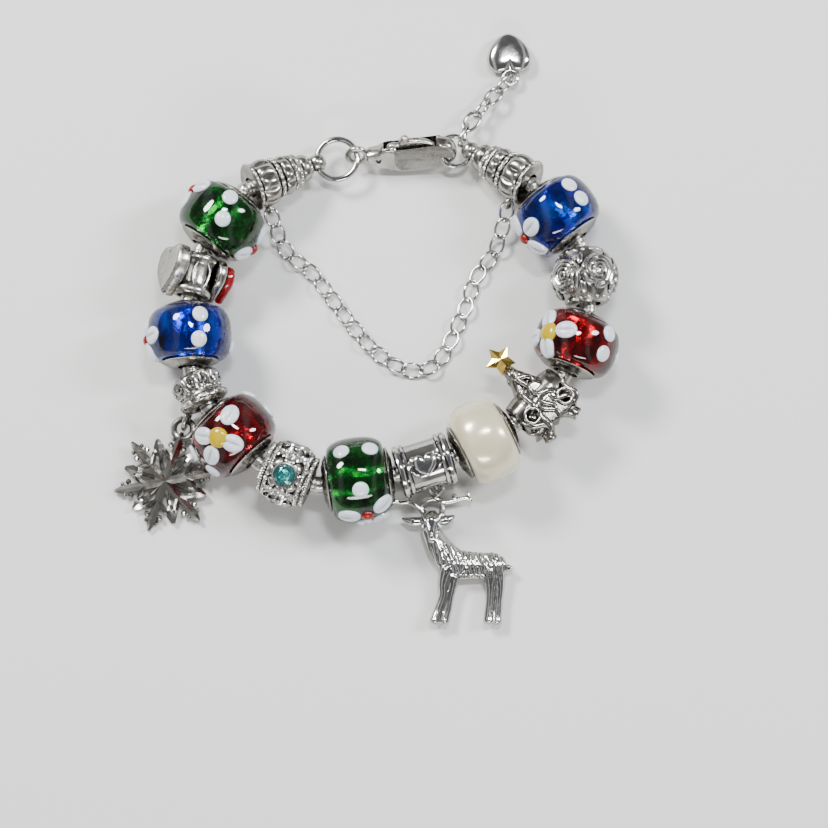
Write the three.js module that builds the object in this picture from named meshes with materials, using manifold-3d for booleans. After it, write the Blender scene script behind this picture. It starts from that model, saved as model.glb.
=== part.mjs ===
// Charm bracelet lying on a table: glass, pearl and silver beads on a snake chain, closed by a
// lobster clasp. Millimetres, +Z up, origin at the middle of the footprint on the table.
import * as THREE from 'three';
import { mergeVertices } from 'three/addons/utils/BufferGeometryUtils.js';
import Module from 'manifold-3d';

const wasm = await Module();
wasm.setup();

// Clearances between neighbouring pieces
const seatGap = 0.3;
const endGap = 0.12;
const fuseDepth = 0.16;

// Snake chain and the bore of every bead
const chainRadius = 1.35;
const boreRadius = 1.95;
const chainSink = 3.6;

// Glass beads with silver cores
const glassRadius = 6.7;
const glassShoulder = 4.5;
const glassRoundness = 2.3;
const pearlRadius = 6.75;
const coreTubeRadius = 2.5;
const coreRimRadius = 4.4;
const coreEndRadius = 2.9;
const coreCapHeight = 0.75;
const petalRadius = 1.7;
const dotRadius = 1.25;
const yellowRadius = 1.6;
const redRadius = 0.95;
const dropRise = 0.55;

// Lengths of the beads along the chain
const greenOneLength = 10.2;
const heartLength = 6.7;
const blueOneLength = 10.0;
const ornateLength = 5.2;
const redOneLength = 10.1;
const crystalRoseLength = 7.8;
const greenTwoLength = 10.8;
const tubeLength = 8.5;
const pearlLength = 9.6;
const treeLength = 9.3;
const redTwoLength = 9.6;
const roseBallLength = 8.6;
const blueTwoLength = 10.0;

// Radii of the silver beads
const ornateRadius = 3.9;
const crystalRoseRadius = 4.5;
const tubeRadius = 3.8;
const tubeRimRadius = 4.15;
const tubeHeartWidth = 3.8;
const tubeHeartHeight = 3.6;
const tubeHeartDepth = 1.4;
const roseBallRadius = 4.7;
const heartBarrelRadius = 3.2;
const metalEndRadius = 2.7;

// Stepped end caps
const capLength = 11.8;
const stopperRadius = 3.9;
const capBallRadius = 1.45;
const capBallHole = 0.95;
const stopperRingRadius = 0.85;
const stopperRingWire = 0.3;

// Jump ring, end ring and clasp
const jumpRingRadius = 3.2;
const jumpRingWire = 0.48;
const endRingRadius = 2.45;
const endRingWire = 0.38;
const claspLength = 17.5;
const claspWidth = 6.4;
const claspThickness = 2.3;
const claspArm = 1.2;
const hookOffset = 0.3;
const noseLow = 1.35;
const claspBevel = 0.35;
const claspLean = 30;
const eyeRadius = 1.45;
const eyeWire = 0.45;
const neckRadius = 0.85;
const pivotX = 5.6;
const pivotRise = 1.1;
const pinRadius = 0.4;
const leverThickness = 1.1;
const leverGap = 0.25;
const leverRootRadius = 1.15;
const leverReach = 6.5;
const leverBar = 0.95;
const tabRise = 1.5;

// Fine safety chain and the extension chain
const safetyRadius = 1.0;
const safetyLift = safetyRadius + 0.1;
const safetySteps = 40;
const extensionLinkLength = 3.7;
const extensionLinkWidth = 2.7;
const extensionWire = 0.28;
const extensionDirection = 50;
const extensionSwing = 10;
const extensionSlack = 0.4;
const extensionLay = [
  { bend: 18, roll: 80 }, { bend: 6, roll: -5 }, { bend: 0, roll: 70 }, { bend: 0, roll: -20 },
  { bend: 0, roll: 60 },
];
const heartDropWidth = 6.5;
const heartDropHeight = 6.4;
const heartDropThickness = 2.4;
const heartDropRing = 1.15;
const heartDropWire = 0.3;
const heartDropNeck = 0.5;
const heartDropBend = 44;

// Heart bead
const heartPlateWidth = 8.4;
const heartPlateHeight = 8.0;
const heartPlateThickness = 2.2;
const enamelThickness = 1.4;
const heartBeadRoll = -62;

// Crystals in the rose bead
const crystalRadius = 1.6;
const crystalDepth = 1.5;
const crystalCount = 4;
const crystalFirst = -12;
const bezelWall = 0.45;

// Roses on the rose ball bead
const roseCount = 5;
const roseFirst = -25;
const roseSize = 2.75;

// Bails under the two charm beads
const ornateBail = { radius: 1.7, wire: 0.38, drop: 45, along: 1.6, yaw: 45 };
const tubeBail = { radius: 1.25, wire: 0.32, drop: 65, along: 0.9, yaw: 0 };

// Snowflake
const snowArm = 8.1;
const snowLeaf = 6.6;
const snowThickness = 1.3;
const snowArmWidth = 1.5;
const snowLoopRadius = 1.5;
const snowLoopWire = 0.5;
const snowLoopReach = 8.5;
const snowHang = 251;

// Reindeer
const deerHeight = 20.6;
const deerThickness = 3.2;
const deerLoopRadius = 1.0;
const deerLoopWire = 0.34;
const deerHang = 270;

// Tree bead and its star
const treeHeight = 12.4;
const treeBaseWidth = 9.0;
const treeThickness = 7.0;
const treeBelow = 6.0;
const treeEdge = treeBaseWidth * 0.045;
const baubleRadius = 1.05;
const starRadius = 2.5;
const starThickness = 1.2;

// The loop that the chain lies in, as chosen points at the height of the bead holes
const beadSides = 12;
const beadAxis = glassRadius * Math.cos(Math.PI / beadSides);
const tipHeight = 2.7;
const claspHeight = 3.5;
const loopRoute = [
  [-7.4, 26.0, tipHeight], [-13.0, 23.9, 5.1], [-18.4, 20.6, beadAxis], [-22.9, 15.9, beadAxis],
  [-26.0, 6.8, beadAxis], [-26.7, -2.8, beadAxis], [-24.6, -11.0, beadAxis],
  [-18.3, -18.1, beadAxis], [-11.9, -24.0, beadAxis], [-1.4, -23.9, beadAxis],
  [9.2, -21.7, beadAxis], [18.2, -17.8, beadAxis], [26.6, -12.2, beadAxis],
  [32.3, -3.6, beadAxis], [34.1, 6.9, beadAxis], [30.6, 16.4, beadAxis],
  [26.3, 20.9, beadAxis + 0.1], [21.8, 24.8, 5.2], [16.9, 27.9, tipHeight],
  [11.9, 27.6, claspHeight], [5.5, 27.4, claspHeight], [-1.1, 27.0, claspHeight],
];

// The way of the safety chain over the table, between the two stopper rings
const safetyRoute = [
  [-14.6, 14.9, 2.0], [-12.6, 12.6, safetyLift], [-8.9, 9.6, safetyLift],
  [-5.3, 5.0, safetyLift], [-1.9, 0.4, safetyLift], [2.2, -4.0, safetyLift],
  [7.0, -6.4, safetyLift], [10.9, -5.3, safetyLift], [13.1, -1.6, safetyLift],
  [15.4, 3.6, safetyLift], [17.3, 9.0, safetyLift], [20.0, 12.6, safetyLift],
  [21.4, 15.3, 2.0],
];

// Raised drops of glass: along is a share of half the glass length in the direction of travel,
// around is the angle from the top towards the inside of the loop
const dropTables = {
  green_bead_one: [
    { kind: 'red', along: -0.3, around: -78 }, { kind: 'petal', along: 0.22, around: -72 },
    { kind: 'petal', along: -0.5, around: -55 }, { kind: 'petal', along: -0.7, around: -92 },
    { kind: 'petal', along: -0.1, around: -112 }, { kind: 'dot', along: -0.68, around: 0 },
    { kind: 'dot', along: 0.17, around: 10 }, { kind: 'red', along: 0.2, around: 98 },
    { kind: 'petal', along: -0.42, around: 88 }, { kind: 'petal', along: 0.6, around: 78 },
    { kind: 'dot', along: 0.3, around: 132 },
  ],
  blue_bead_one: [
    { kind: 'red', along: 0.2, around: -82 }, { kind: 'petal', along: 0.12, around: -58 },
    { kind: 'petal', along: 0.7, around: -78 }, { kind: 'petal', along: -0.32, around: -84 },
    { kind: 'petal', along: 0.3, around: -108 }, { kind: 'dot', along: -0.5, around: 20 },
    { kind: 'dot', along: 0.48, around: 17 }, { kind: 'dot', along: 0.5, around: 96 },
    { kind: 'dot', along: -0.3, around: 128 },
  ],
  red_bead_one: [
    { kind: 'yellow', along: -0.08, around: -21 }, { kind: 'petal', along: -0.54, around: -36 },
    { kind: 'petal', along: 0.46, around: -12 }, { kind: 'petal', along: 0.17, around: -48 },
    { kind: 'petal', along: -0.42, around: 12 }, { kind: 'dot', along: -0.7, around: 84 },
    { kind: 'dot', along: 0.25, around: 84 }, { kind: 'dot', along: -0.5, around: -84 },
    { kind: 'dot', along: 0.52, around: -76 }, { kind: 'dot', along: 0, around: 132 },
  ],
  green_bead_two: [
    { kind: 'dot', along: -0.45, around: 37 }, { kind: 'dot', along: 0.55, around: 36 },
    { kind: 'dot', along: 0.04, around: -23 }, { kind: 'red', along: 0.17, around: -68 },
    { kind: 'petal', along: -0.46, around: -66 }, { kind: 'petal', along: 0.06, around: -94 },
    { kind: 'petal', along: 0.74, around: -54 }, { kind: 'petal', along: 0.64, around: -92 },
    { kind: 'dot', along: -0.4, around: 100 }, { kind: 'dot', along: 0.5, around: 112 },
  ],
  red_bead_two: [
    { kind: 'yellow', along: -0.22, around: 44 }, { kind: 'petal', along: 0.36, around: 54 },
    { kind: 'petal', along: -0.45, around: 73 }, { kind: 'petal', along: -0.8, around: 42 },
    { kind: 'petal', along: 0.06, around: 19 }, { kind: 'dot', along: 0.62, around: -44 },
    { kind: 'dot', along: -0.25, around: -44 }, { kind: 'dot', along: 0, around: -90 },
    { kind: 'dot', along: 0.3, around: 116 },
  ],
  blue_bead_two: [
    { kind: 'dot', along: 0.45, around: -33 }, { kind: 'dot', along: -0.25, around: -34 },
    { kind: 'petal', along: 0.07, around: 52 }, { kind: 'petal', along: 0.55, around: 80 },
    { kind: 'red', along: -0.04, around: 82 }, { kind: 'petal', along: -0.62, around: 74 },
    { kind: 'petal', along: -0.1, around: 112 }, { kind: 'dot', along: 0.5, around: -100 },
    { kind: 'dot', along: -0.35, around: -112 },
  ],
};
const dropRadii = {
  petal: petalRadius,
  dot: dotRadius,
  yellow: yellowRadius,
  red: redRadius,
};

// Rings of the end cap from the flange to the tip: at and width are shares of the cap length,
// radius is a share of the stopper radius, and lobe is how deep its lobes are
const capSteps = [
  { at: 0.035, width: 0.07, radius: 0.97, lobe: 0 },
  { at: 0.2, width: 0.27, radius: 0.96, lobe: 0.16 },
  { at: 0.375, width: 0.09, radius: 0.8, lobe: 0.1 },
  { at: 0.5, width: 0.15, radius: 0.8, lobe: 0.16 },
  { at: 0.64, width: 0.1, radius: 0.67, lobe: 0 },
  { at: 0.78, width: 0.14, radius: 0.55, lobe: 0 },
];

// Number of sides of round work
const coreSides = 10;
const ringSteps = 20;
const wireSides = 6;
const linkSteps = 10;
const linkSides = 5;

const paint = (color, roughness, metalness) => (
  () => new THREE.MeshStandardMaterial({ color, roughness, metalness })
);
const silver = paint(0xc9c7c2, 0.22, 1);
const agedSilver = paint(0x8b867e, 0.34, 1);
const satinSilver = paint(0xb8b4ab, 0.4, 1);
const gold = paint(0xc9a53a, 0.25, 1);
const greenGlass = paint(0x0c5a1c, 0.06, 0);
const blueGlass = paint(0x0a2fb4, 0.06, 0);
const redGlass = paint(0x7a0410, 0.08, 0);
const pearlShell = paint(0xe6e2cf, 0.18, 0);
const redEnamel = paint(0x7c0d12, 0.15, 0);
const tealCrystal = paint(0x2f9c9c, 0.03, 0);

const radians = THREE.MathUtils.degToRad;
const across = new THREE.Vector3(0, 1, 0);
const up = new THREE.Vector3(0, 0, 1);

// Closed solids from geometries, and back

function solid(geometry) {
  const bare = geometry.clone();
  bare.deleteAttribute('normal');
  bare.deleteAttribute('uv');
  const merged = mergeVertices(bare, 1e-4);
  const positions = merged.attributes.position.array;
  const index = merged.index.array;
  const corners = [];
  const a = new THREE.Vector3();
  const b = new THREE.Vector3();
  const c = new THREE.Vector3();
  let volume = 0;
  for (let i = 0; i < index.length; i += 3) {
    const [p, q, r] = [index[i], index[i + 1], index[i + 2]];
    if (p === q || q === r || r === p) continue;
    corners.push(p, q, r);
    a.fromArray(positions, p * 3);
    b.fromArray(positions, q * 3);
    c.fromArray(positions, r * 3);
    volume += a.dot(b.cross(c));
  }
  if (volume < 0) corners.reverse();
  return new wasm.Manifold(new wasm.Mesh({
    numProp: 3,
    vertProperties: new Float32Array(positions),
    triVerts: new Uint32Array(corners),
  }));
}

function geometryOf(body) {
  const mesh = body.getMesh();
  const geometry = new THREE.BufferGeometry();
  geometry.setAttribute('position', new THREE.BufferAttribute(mesh.vertProperties, 3));
  geometry.setIndex(new THREE.BufferAttribute(mesh.triVerts, 1));
  return geometry;
}

function join(geometries) {
  return geometries.map(solid).reduce((whole, piece) => whole.add(piece));
}

function piece(name, body, material) {
  const mesh = new THREE.Mesh(geometryOf(body), material());
  mesh.name = name;
  return mesh;
}

// Basic forms

function moved(geometry, x, y, z) {
  return geometry.translate(x, y, z);
}

// Turned about X, from [x, radius] rows that close on themselves or start and end on the axis
function turned(rows, sides) {
  const points = rows.map(([x, radius]) => new THREE.Vector2(radius, x));
  return new THREE.LatheGeometry(points, sides).rotateZ(-Math.PI / 2).rotateX(Math.PI / sides);
}

// Every other corner of a row is drawn in by its third value, which makes half as many lobes
function lobed(rows, sides) {
  const form = turned(rows, sides);
  const place = form.attributes.position;
  for (let i = 0; i < place.count; i += 1) {
    const [, , depth = 0] = rows[i % rows.length];
    const column = Math.floor(i / rows.length) % sides;
    const share = column % 2 ? 1 - depth : 1;
    place.setY(i, place.getY(i) * share);
    place.setZ(i, place.getZ(i) * share);
  }
  return form;
}

function boredLobed(rows, inner, sides) {
  const first = rows[0][0];
  const last = rows[rows.length - 1][0];
  return lobed([[first, inner], ...rows, [last, inner], [first, inner]], sides);
}

function bored(rows, inner, sides) {
  const first = rows[0][0];
  const last = rows[rows.length - 1][0];
  return turned([[first, inner], ...rows, [last, inner], [first, inner]], sides);
}

function rod(from, to, startRadius, endRadius, sides) {
  const axis = new THREE.Vector3().subVectors(to, from);
  const bar = new THREE.CylinderGeometry(endRadius, startRadius, axis.length(), sides);
  const turn = new THREE.Quaternion().setFromUnitVectors(across, axis.clone().normalize());
  const middle = new THREE.Vector3().addVectors(from, to).multiplyScalar(0.5);
  return moved(bar.applyQuaternion(turn), middle.x, middle.y, middle.z);
}

// A skin over rings of [x, y, z, radius] rows, square to the way between their neighbours
function limb(rows, sides) {
  const form = new THREE.CylinderGeometry(1, 1, 1, sides, rows.length - 1);
  const place = form.attributes.position;
  const centres = rows.map(([x, y, z]) => new THREE.Vector3(x, y, z));
  const last = rows.length - 1;
  const turns = centres.map((_, k) => {
    const way = new THREE.Vector3().subVectors(
      centres[Math.max(k - 1, 0)],
      centres[Math.min(k + 1, last)],
    );
    return new THREE.Quaternion().setFromUnitVectors(across, way.normalize());
  });
  for (let i = 0; i < place.count; i += 1) {
    const ring = Math.round((0.5 - place.getY(i)) * last);
    const corner = new THREE.Vector3(place.getX(i), 0, place.getZ(i))
      .multiplyScalar(rows[ring][3]).applyQuaternion(turns[ring]).add(centres[ring]);
    place.setXYZ(i, corner.x, corner.y, corner.z);
  }
  return form;
}

function ball(centre, radius, sides = 7, rows = 5) {
  const form = new THREE.SphereGeometry(radius, sides, rows);
  return moved(form, centre.x, centre.y, centre.z);
}

function slab(outline, thickness, bevel) {
  return new THREE.ExtrudeGeometry(outline, {
    depth: thickness - 2 * bevel,
    bevelEnabled: bevel > 0,
    bevelThickness: bevel,
    bevelSize: bevel,
    bevelOffset: -bevel,
    bevelSegments: 1,
    curveSegments: 5,
  }).translate(0, 0, bevel - thickness / 2);
}

// A link lies in XY with its length along X
function link(halfLength, width, wire, steps = linkSteps, sides = linkSides) {
  const round = width / 2 - wire;
  const stretch = halfLength - round;
  const form = new THREE.TorusGeometry(round, wire, sides, steps);
  const place = form.attributes.position;
  for (let i = 0; i < place.count; i += 1) {
    const x = place.getX(i);
    place.setX(i, x + Math.sign(Math.abs(x) < 1e-6 ? 0 : x) * stretch);
  }
  return form;
}

// Heart with its tip towards +X, about its middle
function heartOutline(width, height) {
  const outline = new THREE.Shape();
  const half = width / 2;
  const tip = height * 0.52;
  const notch = -height * 0.3;
  outline.moveTo(tip, 0);
  outline.bezierCurveTo(tip * 0.55, half * 0.45, tip * 0.3, half, -height * 0.16, half);
  outline.bezierCurveTo(-height * 0.52, half, -height * 0.56, half * 0.18, notch, 0);
  outline.bezierCurveTo(-height * 0.56, -half * 0.18, -height * 0.52, -half, -height * 0.16, -half);
  outline.bezierCurveTo(tip * 0.3, -half, tip * 0.55, -half * 0.45, tip, 0);
  return outline;
}

// Walking pieces of fixed length along a curve

// Gives each joint and the share of the way that the walk takes, over 1 where it runs past the end
function march(samples, lengths) {
  const points = [samples[0].clone()];
  const last = samples.length - 1;
  const point = new THREE.Vector3();
  let place = 0;
  for (const length of lengths) {
    const start = points[points.length - 1];
    let i = Math.floor(place);
    while (i < last && samples[i + 1].distanceTo(start) < length) i += 1;
    if (i >= last) {
      points.push(samples[last].clone());
      place = Math.max(place, last) + length;
      continue;
    }
    let low = 0;
    let high = 1;
    for (let n = 0; n < 30; n += 1) {
      const middle = (low + high) / 2;
      point.lerpVectors(samples[i], samples[i + 1], middle);
      if (point.distanceTo(start) < length) low = middle;
      else high = middle;
    }
    points.push(point.clone());
    place = i + high;
  }
  return { points, end: place / last };
}

function routeSamples(points, closed, count, scale = 1) {
  const nodes = points.map(([x, y, z]) => new THREE.Vector3(x * scale, y * scale, z));
  return new THREE.CatmullRomCurve3(nodes, closed, 'centripetal').getSpacedPoints(count);
}

// What follows what round the loop: face is the radius of an end that meets its neighbour
const line = [
  { name: 'end_cap_left', length: capLength, startFace: 0, endFace: metalEndRadius },
  { name: 'green_bead_one', length: greenOneLength },
  { name: 'heart_bead', length: heartLength },
  { name: 'blue_bead_one', length: blueOneLength },
  { name: 'ornate_bead', length: ornateLength },
  { name: 'red_bead_one', length: redOneLength },
  { name: 'crystal_rose_bead', length: crystalRoseLength },
  { name: 'green_bead_two', length: greenTwoLength },
  { name: 'tube_bead', length: tubeLength },
  { name: 'pearl_bead', length: pearlLength },
  { name: 'tree_bead', length: treeLength },
  { name: 'red_bead_two', length: redTwoLength },
  { name: 'rose_ball_bead', length: roseBallLength },
  { name: 'blue_bead_two', length: blueTwoLength },
  { name: 'end_cap_right', length: capLength, startFace: metalEndRadius, endFace: 0 },
  { name: 'end_ring', length: 2 * endRingRadius, startFace: 0, endFace: 0 },
  {
    name: 'clasp',
    length: claspLength - eyeRadius - eyeWire - claspArm / 2 - endRingRadius + hookOffset,
    startFace: 0,
    endFace: 0,
  },
  { name: 'jump_ring', length: 2 * jumpRingRadius, startFace: 0, endFace: 0 },
];

// Each end stays on its own side of the plane that halves the bend
function clearance(face, bend) {
  return face === 0 ? 0 : face * Math.tan(bend / 2) + endGap;
}

function layOut() {
  let bends = line.map(() => radians(20));
  let spans = [];
  let points = [];
  for (let round = 0; round < 5; round += 1) {
    spans = line.map((item, i) => {
      const before = clearance(item.startFace ?? coreEndRadius, bends[i]);
      const after = clearance(item.endFace ?? coreEndRadius, bends[(i + 1) % line.length]);
      return { before, length: item.length, after };
    });
    const lengths = spans.map(({ before, length, after }) => before + length + after);
    let low = 0.7;
    let high = 1.5;
    for (let n = 0; n < 24; n += 1) {
      const scale = (low + high) / 2;
      const walked = march(routeSamples(loopRoute, true, 1500, scale), lengths);
      points = walked.points;
      if (walked.end >= 1) low = scale;
      else high = scale;
    }
    points[points.length - 1] = points[0].clone();
    const ways = spans.map((_, i) => (
      new THREE.Vector3().subVectors(points[i + 1], points[i]).normalize()
    ));
    bends = ways.map((way, i) => way.angleTo(ways[(i + ways.length - 1) % ways.length]));
  }
  return line.map((item, i) => {
    const way = new THREE.Vector3().subVectors(points[i + 1], points[i]).normalize();
    const start = points[i].clone().addScaledVector(way, spans[i].before);
    const end = start.clone().addScaledVector(way, item.length);
    return { ...item, way, start, end, joint: points[i] };
  });
}

const places = Object.fromEntries(layOut().map((place) => [place.name, place]));

// A frame with X along the travel, Y towards the inside of the loop and Z up
function frameAt(origin, way) {
  const inside = new THREE.Vector3().crossVectors(up, way).normalize();
  const top = new THREE.Vector3().crossVectors(way, inside);
  const frame = new THREE.Group();
  new THREE.Matrix4().makeBasis(way, inside, top).setPosition(origin)
    .decompose(frame.position, frame.quaternion, frame.scale);
  return frame;
}

function middleFrame(name) {
  const { start, end, way } = places[name];
  return frameAt(new THREE.Vector3().addVectors(start, end).multiplyScalar(0.5), way);
}

const bracelet = new THREE.Group();

function addTo(frame, ...meshes) {
  frame.add(...meshes);
  bracelet.add(frame);
  return frame;
}

// Lampwork glass

function glassHalfLength(length) {
  return length / 2 - coreCapHeight - seatGap;
}

function glassSurface(share, radius) {
  const bulge = (1 - Math.abs(share) ** glassRoundness) ** (1 / glassRoundness);
  return glassShoulder + (radius - glassShoulder) * bulge;
}

const glassStations = [-1, -0.94, -0.72, -0.25, 0.25, 0.72, 0.94, 1];

function glassBody(length, radius) {
  const half = glassHalfLength(length);
  const rows = glassStations.map((share) => [share * half, glassSurface(share, radius)]);
  return bored(rows, coreTubeRadius + seatGap, beadSides);
}

function drop(half, { kind, along, around }) {
  const size = dropRadii[kind];
  const height = glassSurface(along, glassRadius);
  const slope = (glassSurface(along + 0.02, glassRadius) - glassSurface(along - 0.02, glassRadius))
    / (0.04 * half);
  const rise = dropRise * (kind === 'yellow' || kind === 'red' ? 1.3 : 1);
  return new THREE.SphereGeometry(1, 6, 4)
    .rotateX(Math.PI / 2)
    .scale(size, size, rise + 0.35)
    .rotateY(-Math.atan(slope))
    .translate(along * half, 0, height - 0.35)
    .rotateX(-radians(around));
}

function glassBead(name, length, glass) {
  const half = glassHalfLength(length);
  const drops = dropTables[name].map((row) => drop(half, row));
  const body = join([glassBody(length, glassRadius), ...drops]);
  addTo(middleFrame(name), piece(name, body, glass), core(`${name}_core`, length));
}

// Silver core: a tube with a cone-shaped cap on each end
function core(name, length) {
  const end = length / 2;
  const rim = end - coreCapHeight;
  const rows = [
    [-end, coreEndRadius], [-rim, coreRimRadius], [-rim, coreTubeRadius],
    [rim, coreTubeRadius], [rim, coreRimRadius], [end, coreEndRadius],
  ];
  return piece(name, solid(bored(rows, boreRadius, coreSides)), silver);
}

glassBead('green_bead_one', greenOneLength, greenGlass);
glassBead('blue_bead_one', blueOneLength, blueGlass);
glassBead('red_bead_one', redOneLength, redGlass);
glassBead('green_bead_two', greenTwoLength, greenGlass);
glassBead('red_bead_two', redTwoLength, redGlass);
glassBead('blue_bead_two', blueTwoLength, blueGlass);
addTo(
  middleFrame('pearl_bead'),
  piece('pearl_bead', solid(glassBody(pearlLength, pearlRadius)), pearlShell),
  core('pearl_bead_core', pearlLength),
);

// Plain barrel of a silver bead from rows of shares of its half length and its radius
function barrel(length, radius, shares, sides = coreSides) {
  const rows = shares.map(([x, r, depth]) => [x * length / 2, r * radius, depth]);
  return boredLobed(rows, boreRadius, sides);
}

// Places forms round the bead's axis, with 0 at the top
function around(form, angle) {
  return form.rotateX(-radians(angle));
}

// Ornate bead with leaves at its start, a ring of granules at its end and a bail
function ornateBead() {
  const half = ornateLength / 2;
  const parts = [barrel(ornateLength, ornateRadius, [
    [-1, 0.8, 0], [-0.7, 1.02, 0.16], [-0.15, 0.98, 0.2], [0.1, 0.84, 0], [0.45, 0.98, 0.08],
    [0.8, 0.94, 0.08], [1, 0.72, 0],
  ], 16)];
  for (let i = 0; i < 7; i += 1) {
    const granule = ball(new THREE.Vector3(half * 0.6, 0, ornateRadius * 0.98), 0.6, 5, 4);
    parts.push(around(granule, i * (360 / 7) + 12));
  }
  return parts;
}

// Bail under a bead, and the middle of the charm's own loop that hangs in it
function bailPlaces(bail, beadRadius, loopRadius) {
  const drop = radians(bail.drop);
  const yaw = radians(bail.yaw);
  const hang = new THREE.Vector3(Math.sin(yaw), -Math.cos(yaw), 0);
  const reach = bail.radius - bail.wire * 0.4;
  const middle = new THREE.Vector3(bail.along, 0, 0)
    .add(new THREE.Vector3(0, -Math.cos(drop), -Math.sin(drop)).multiplyScalar(beadRadius))
    .addScaledVector(hang, reach * Math.cos(drop))
    .addScaledVector(up, -reach * Math.sin(drop));
  const wire = middle.clone().addScaledVector(hang, 0.2).addScaledVector(up, -0.22);
  return { hang, middle, loop: wire.clone().addScaledVector(hang, loopRadius) };
}

function bailRing(bail, placesOfBail) {
  const { hang, middle } = placesOfBail;
  return new THREE.TorusGeometry(bail.radius, bail.wire, wireSides, 12)
    .rotateX(Math.PI / 2)
    .rotateZ(Math.atan2(hang.y, hang.x))
    .translate(middle.x, middle.y, middle.z);
}

// Snowflake, flat back down, with its loop towards +X
function snowflake() {
  const parts = [];
  const ridge = snowThickness;
  const bar = (length, width, height) => {
    const section = new THREE.Shape();
    section.moveTo(-width / 2, 0);
    section.lineTo(width / 2, 0);
    section.lineTo(0, height);
    return new THREE.ExtrudeGeometry(section, { depth: length, bevelEnabled: false })
      .rotateX(Math.PI / 2).rotateZ(Math.PI / 2);
  };
  for (let i = 0; i < 6; i += 1) {
    const turn = radians(i * 60);
    const arm = bar(snowArm - 1, snowArmWidth, ridge);
    const tip = new THREE.ConeGeometry(snowArmWidth * 0.42, 2.2, 4)
      .rotateZ(-Math.PI / 2).scale(1, 1, 0.6)
      .translate(snowArm - 1.2, 0, ridge * 0.34);
    parts.push(arm.rotateZ(turn), tip.rotateZ(turn));
    const leafTurn = turn + radians(30);
    const stem = bar(snowLeaf - 1.2, snowArmWidth * 0.62, ridge * 0.8);
    const leaf = new THREE.CylinderGeometry(0.75, 1.25, ridge * 0.95, 4)
      .rotateX(Math.PI / 2).rotateZ(Math.PI / 4 + 0.001)
      .scale(1.15, 0.85, 1).translate(snowLeaf - 1.1, 0, ridge * 0.475);
    parts.push(stem.rotateZ(leafTurn), leaf.rotateZ(leafTurn));
    for (const side of [-1, 1]) {
      const chevron = bar(2.1, 0.85, ridge * 0.75)
        .rotateZ(side * radians(58)).translate(snowArm * 0.44, side * 0.2, 0);
      parts.push(chevron.rotateZ(turn));
    }
  }
  parts.push(new THREE.TorusGeometry(snowLoopRadius, snowLoopWire, wireSides, 14)
    .translate(snowLoopReach, 0, ridge * 0.5));
  return join(parts).translate(0, 0, -ridge / 2);
}

// A charm lies with its loop in the bail and its far end on the table
function hangCharm(mesh, frame, loopPlace, direction, loopReach, farReach, middleHeight) {
  frame.updateMatrixWorld(true);
  const loop = loopPlace.clone().applyMatrix4(frame.matrixWorld);
  const way = radians(direction);
  const tilt = Math.asin((loop.z - middleHeight) / (loopReach + farReach));
  const charm = new THREE.Group();
  mesh.position.x = -loopReach;
  charm.add(mesh);
  charm.position.copy(loop);
  charm.rotation.set(0, -tilt, way + Math.PI, 'ZYX');
  bracelet.add(charm);
}

const ornateFrame = middleFrame('ornate_bead');
const ornateHang = bailPlaces(ornateBail, ornateRadius, snowLoopRadius);
addTo(ornateFrame, piece(
  'ornate_bead',
  join([...ornateBead(), bailRing(ornateBail, ornateHang)]),
  agedSilver,
));
hangCharm(piece('snowflake', snowflake(), agedSilver), ornateFrame, ornateHang.loop, snowHang,
  snowLoopReach, snowArm, snowThickness / 2);

// Tube bead with a rim at each end, a raised heart and a bail
const tubeFrame = middleFrame('tube_bead');
const tubeHang = bailPlaces(tubeBail, tubeRadius, deerLoopRadius);
const tubeHeart = slab(heartOutline(tubeHeartWidth, tubeHeartHeight), tubeHeartDepth, 0.3)
  .rotateZ(-Math.PI / 2)
  .translate(0, 0, tubeRadius);
addTo(tubeFrame, piece('tube_bead', join([
  barrel(tubeLength, tubeRimRadius, [
    [-1, 0.86], [-0.94, 1], [-0.7, 1], [-0.64, tubeRadius / tubeRimRadius],
    [0.64, tubeRadius / tubeRimRadius], [0.7, 1], [0.94, 1], [1, 0.86],
  ]),
  around(tubeHeart, -8),
  bailRing(tubeBail, tubeHang),
]), silver));

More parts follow.
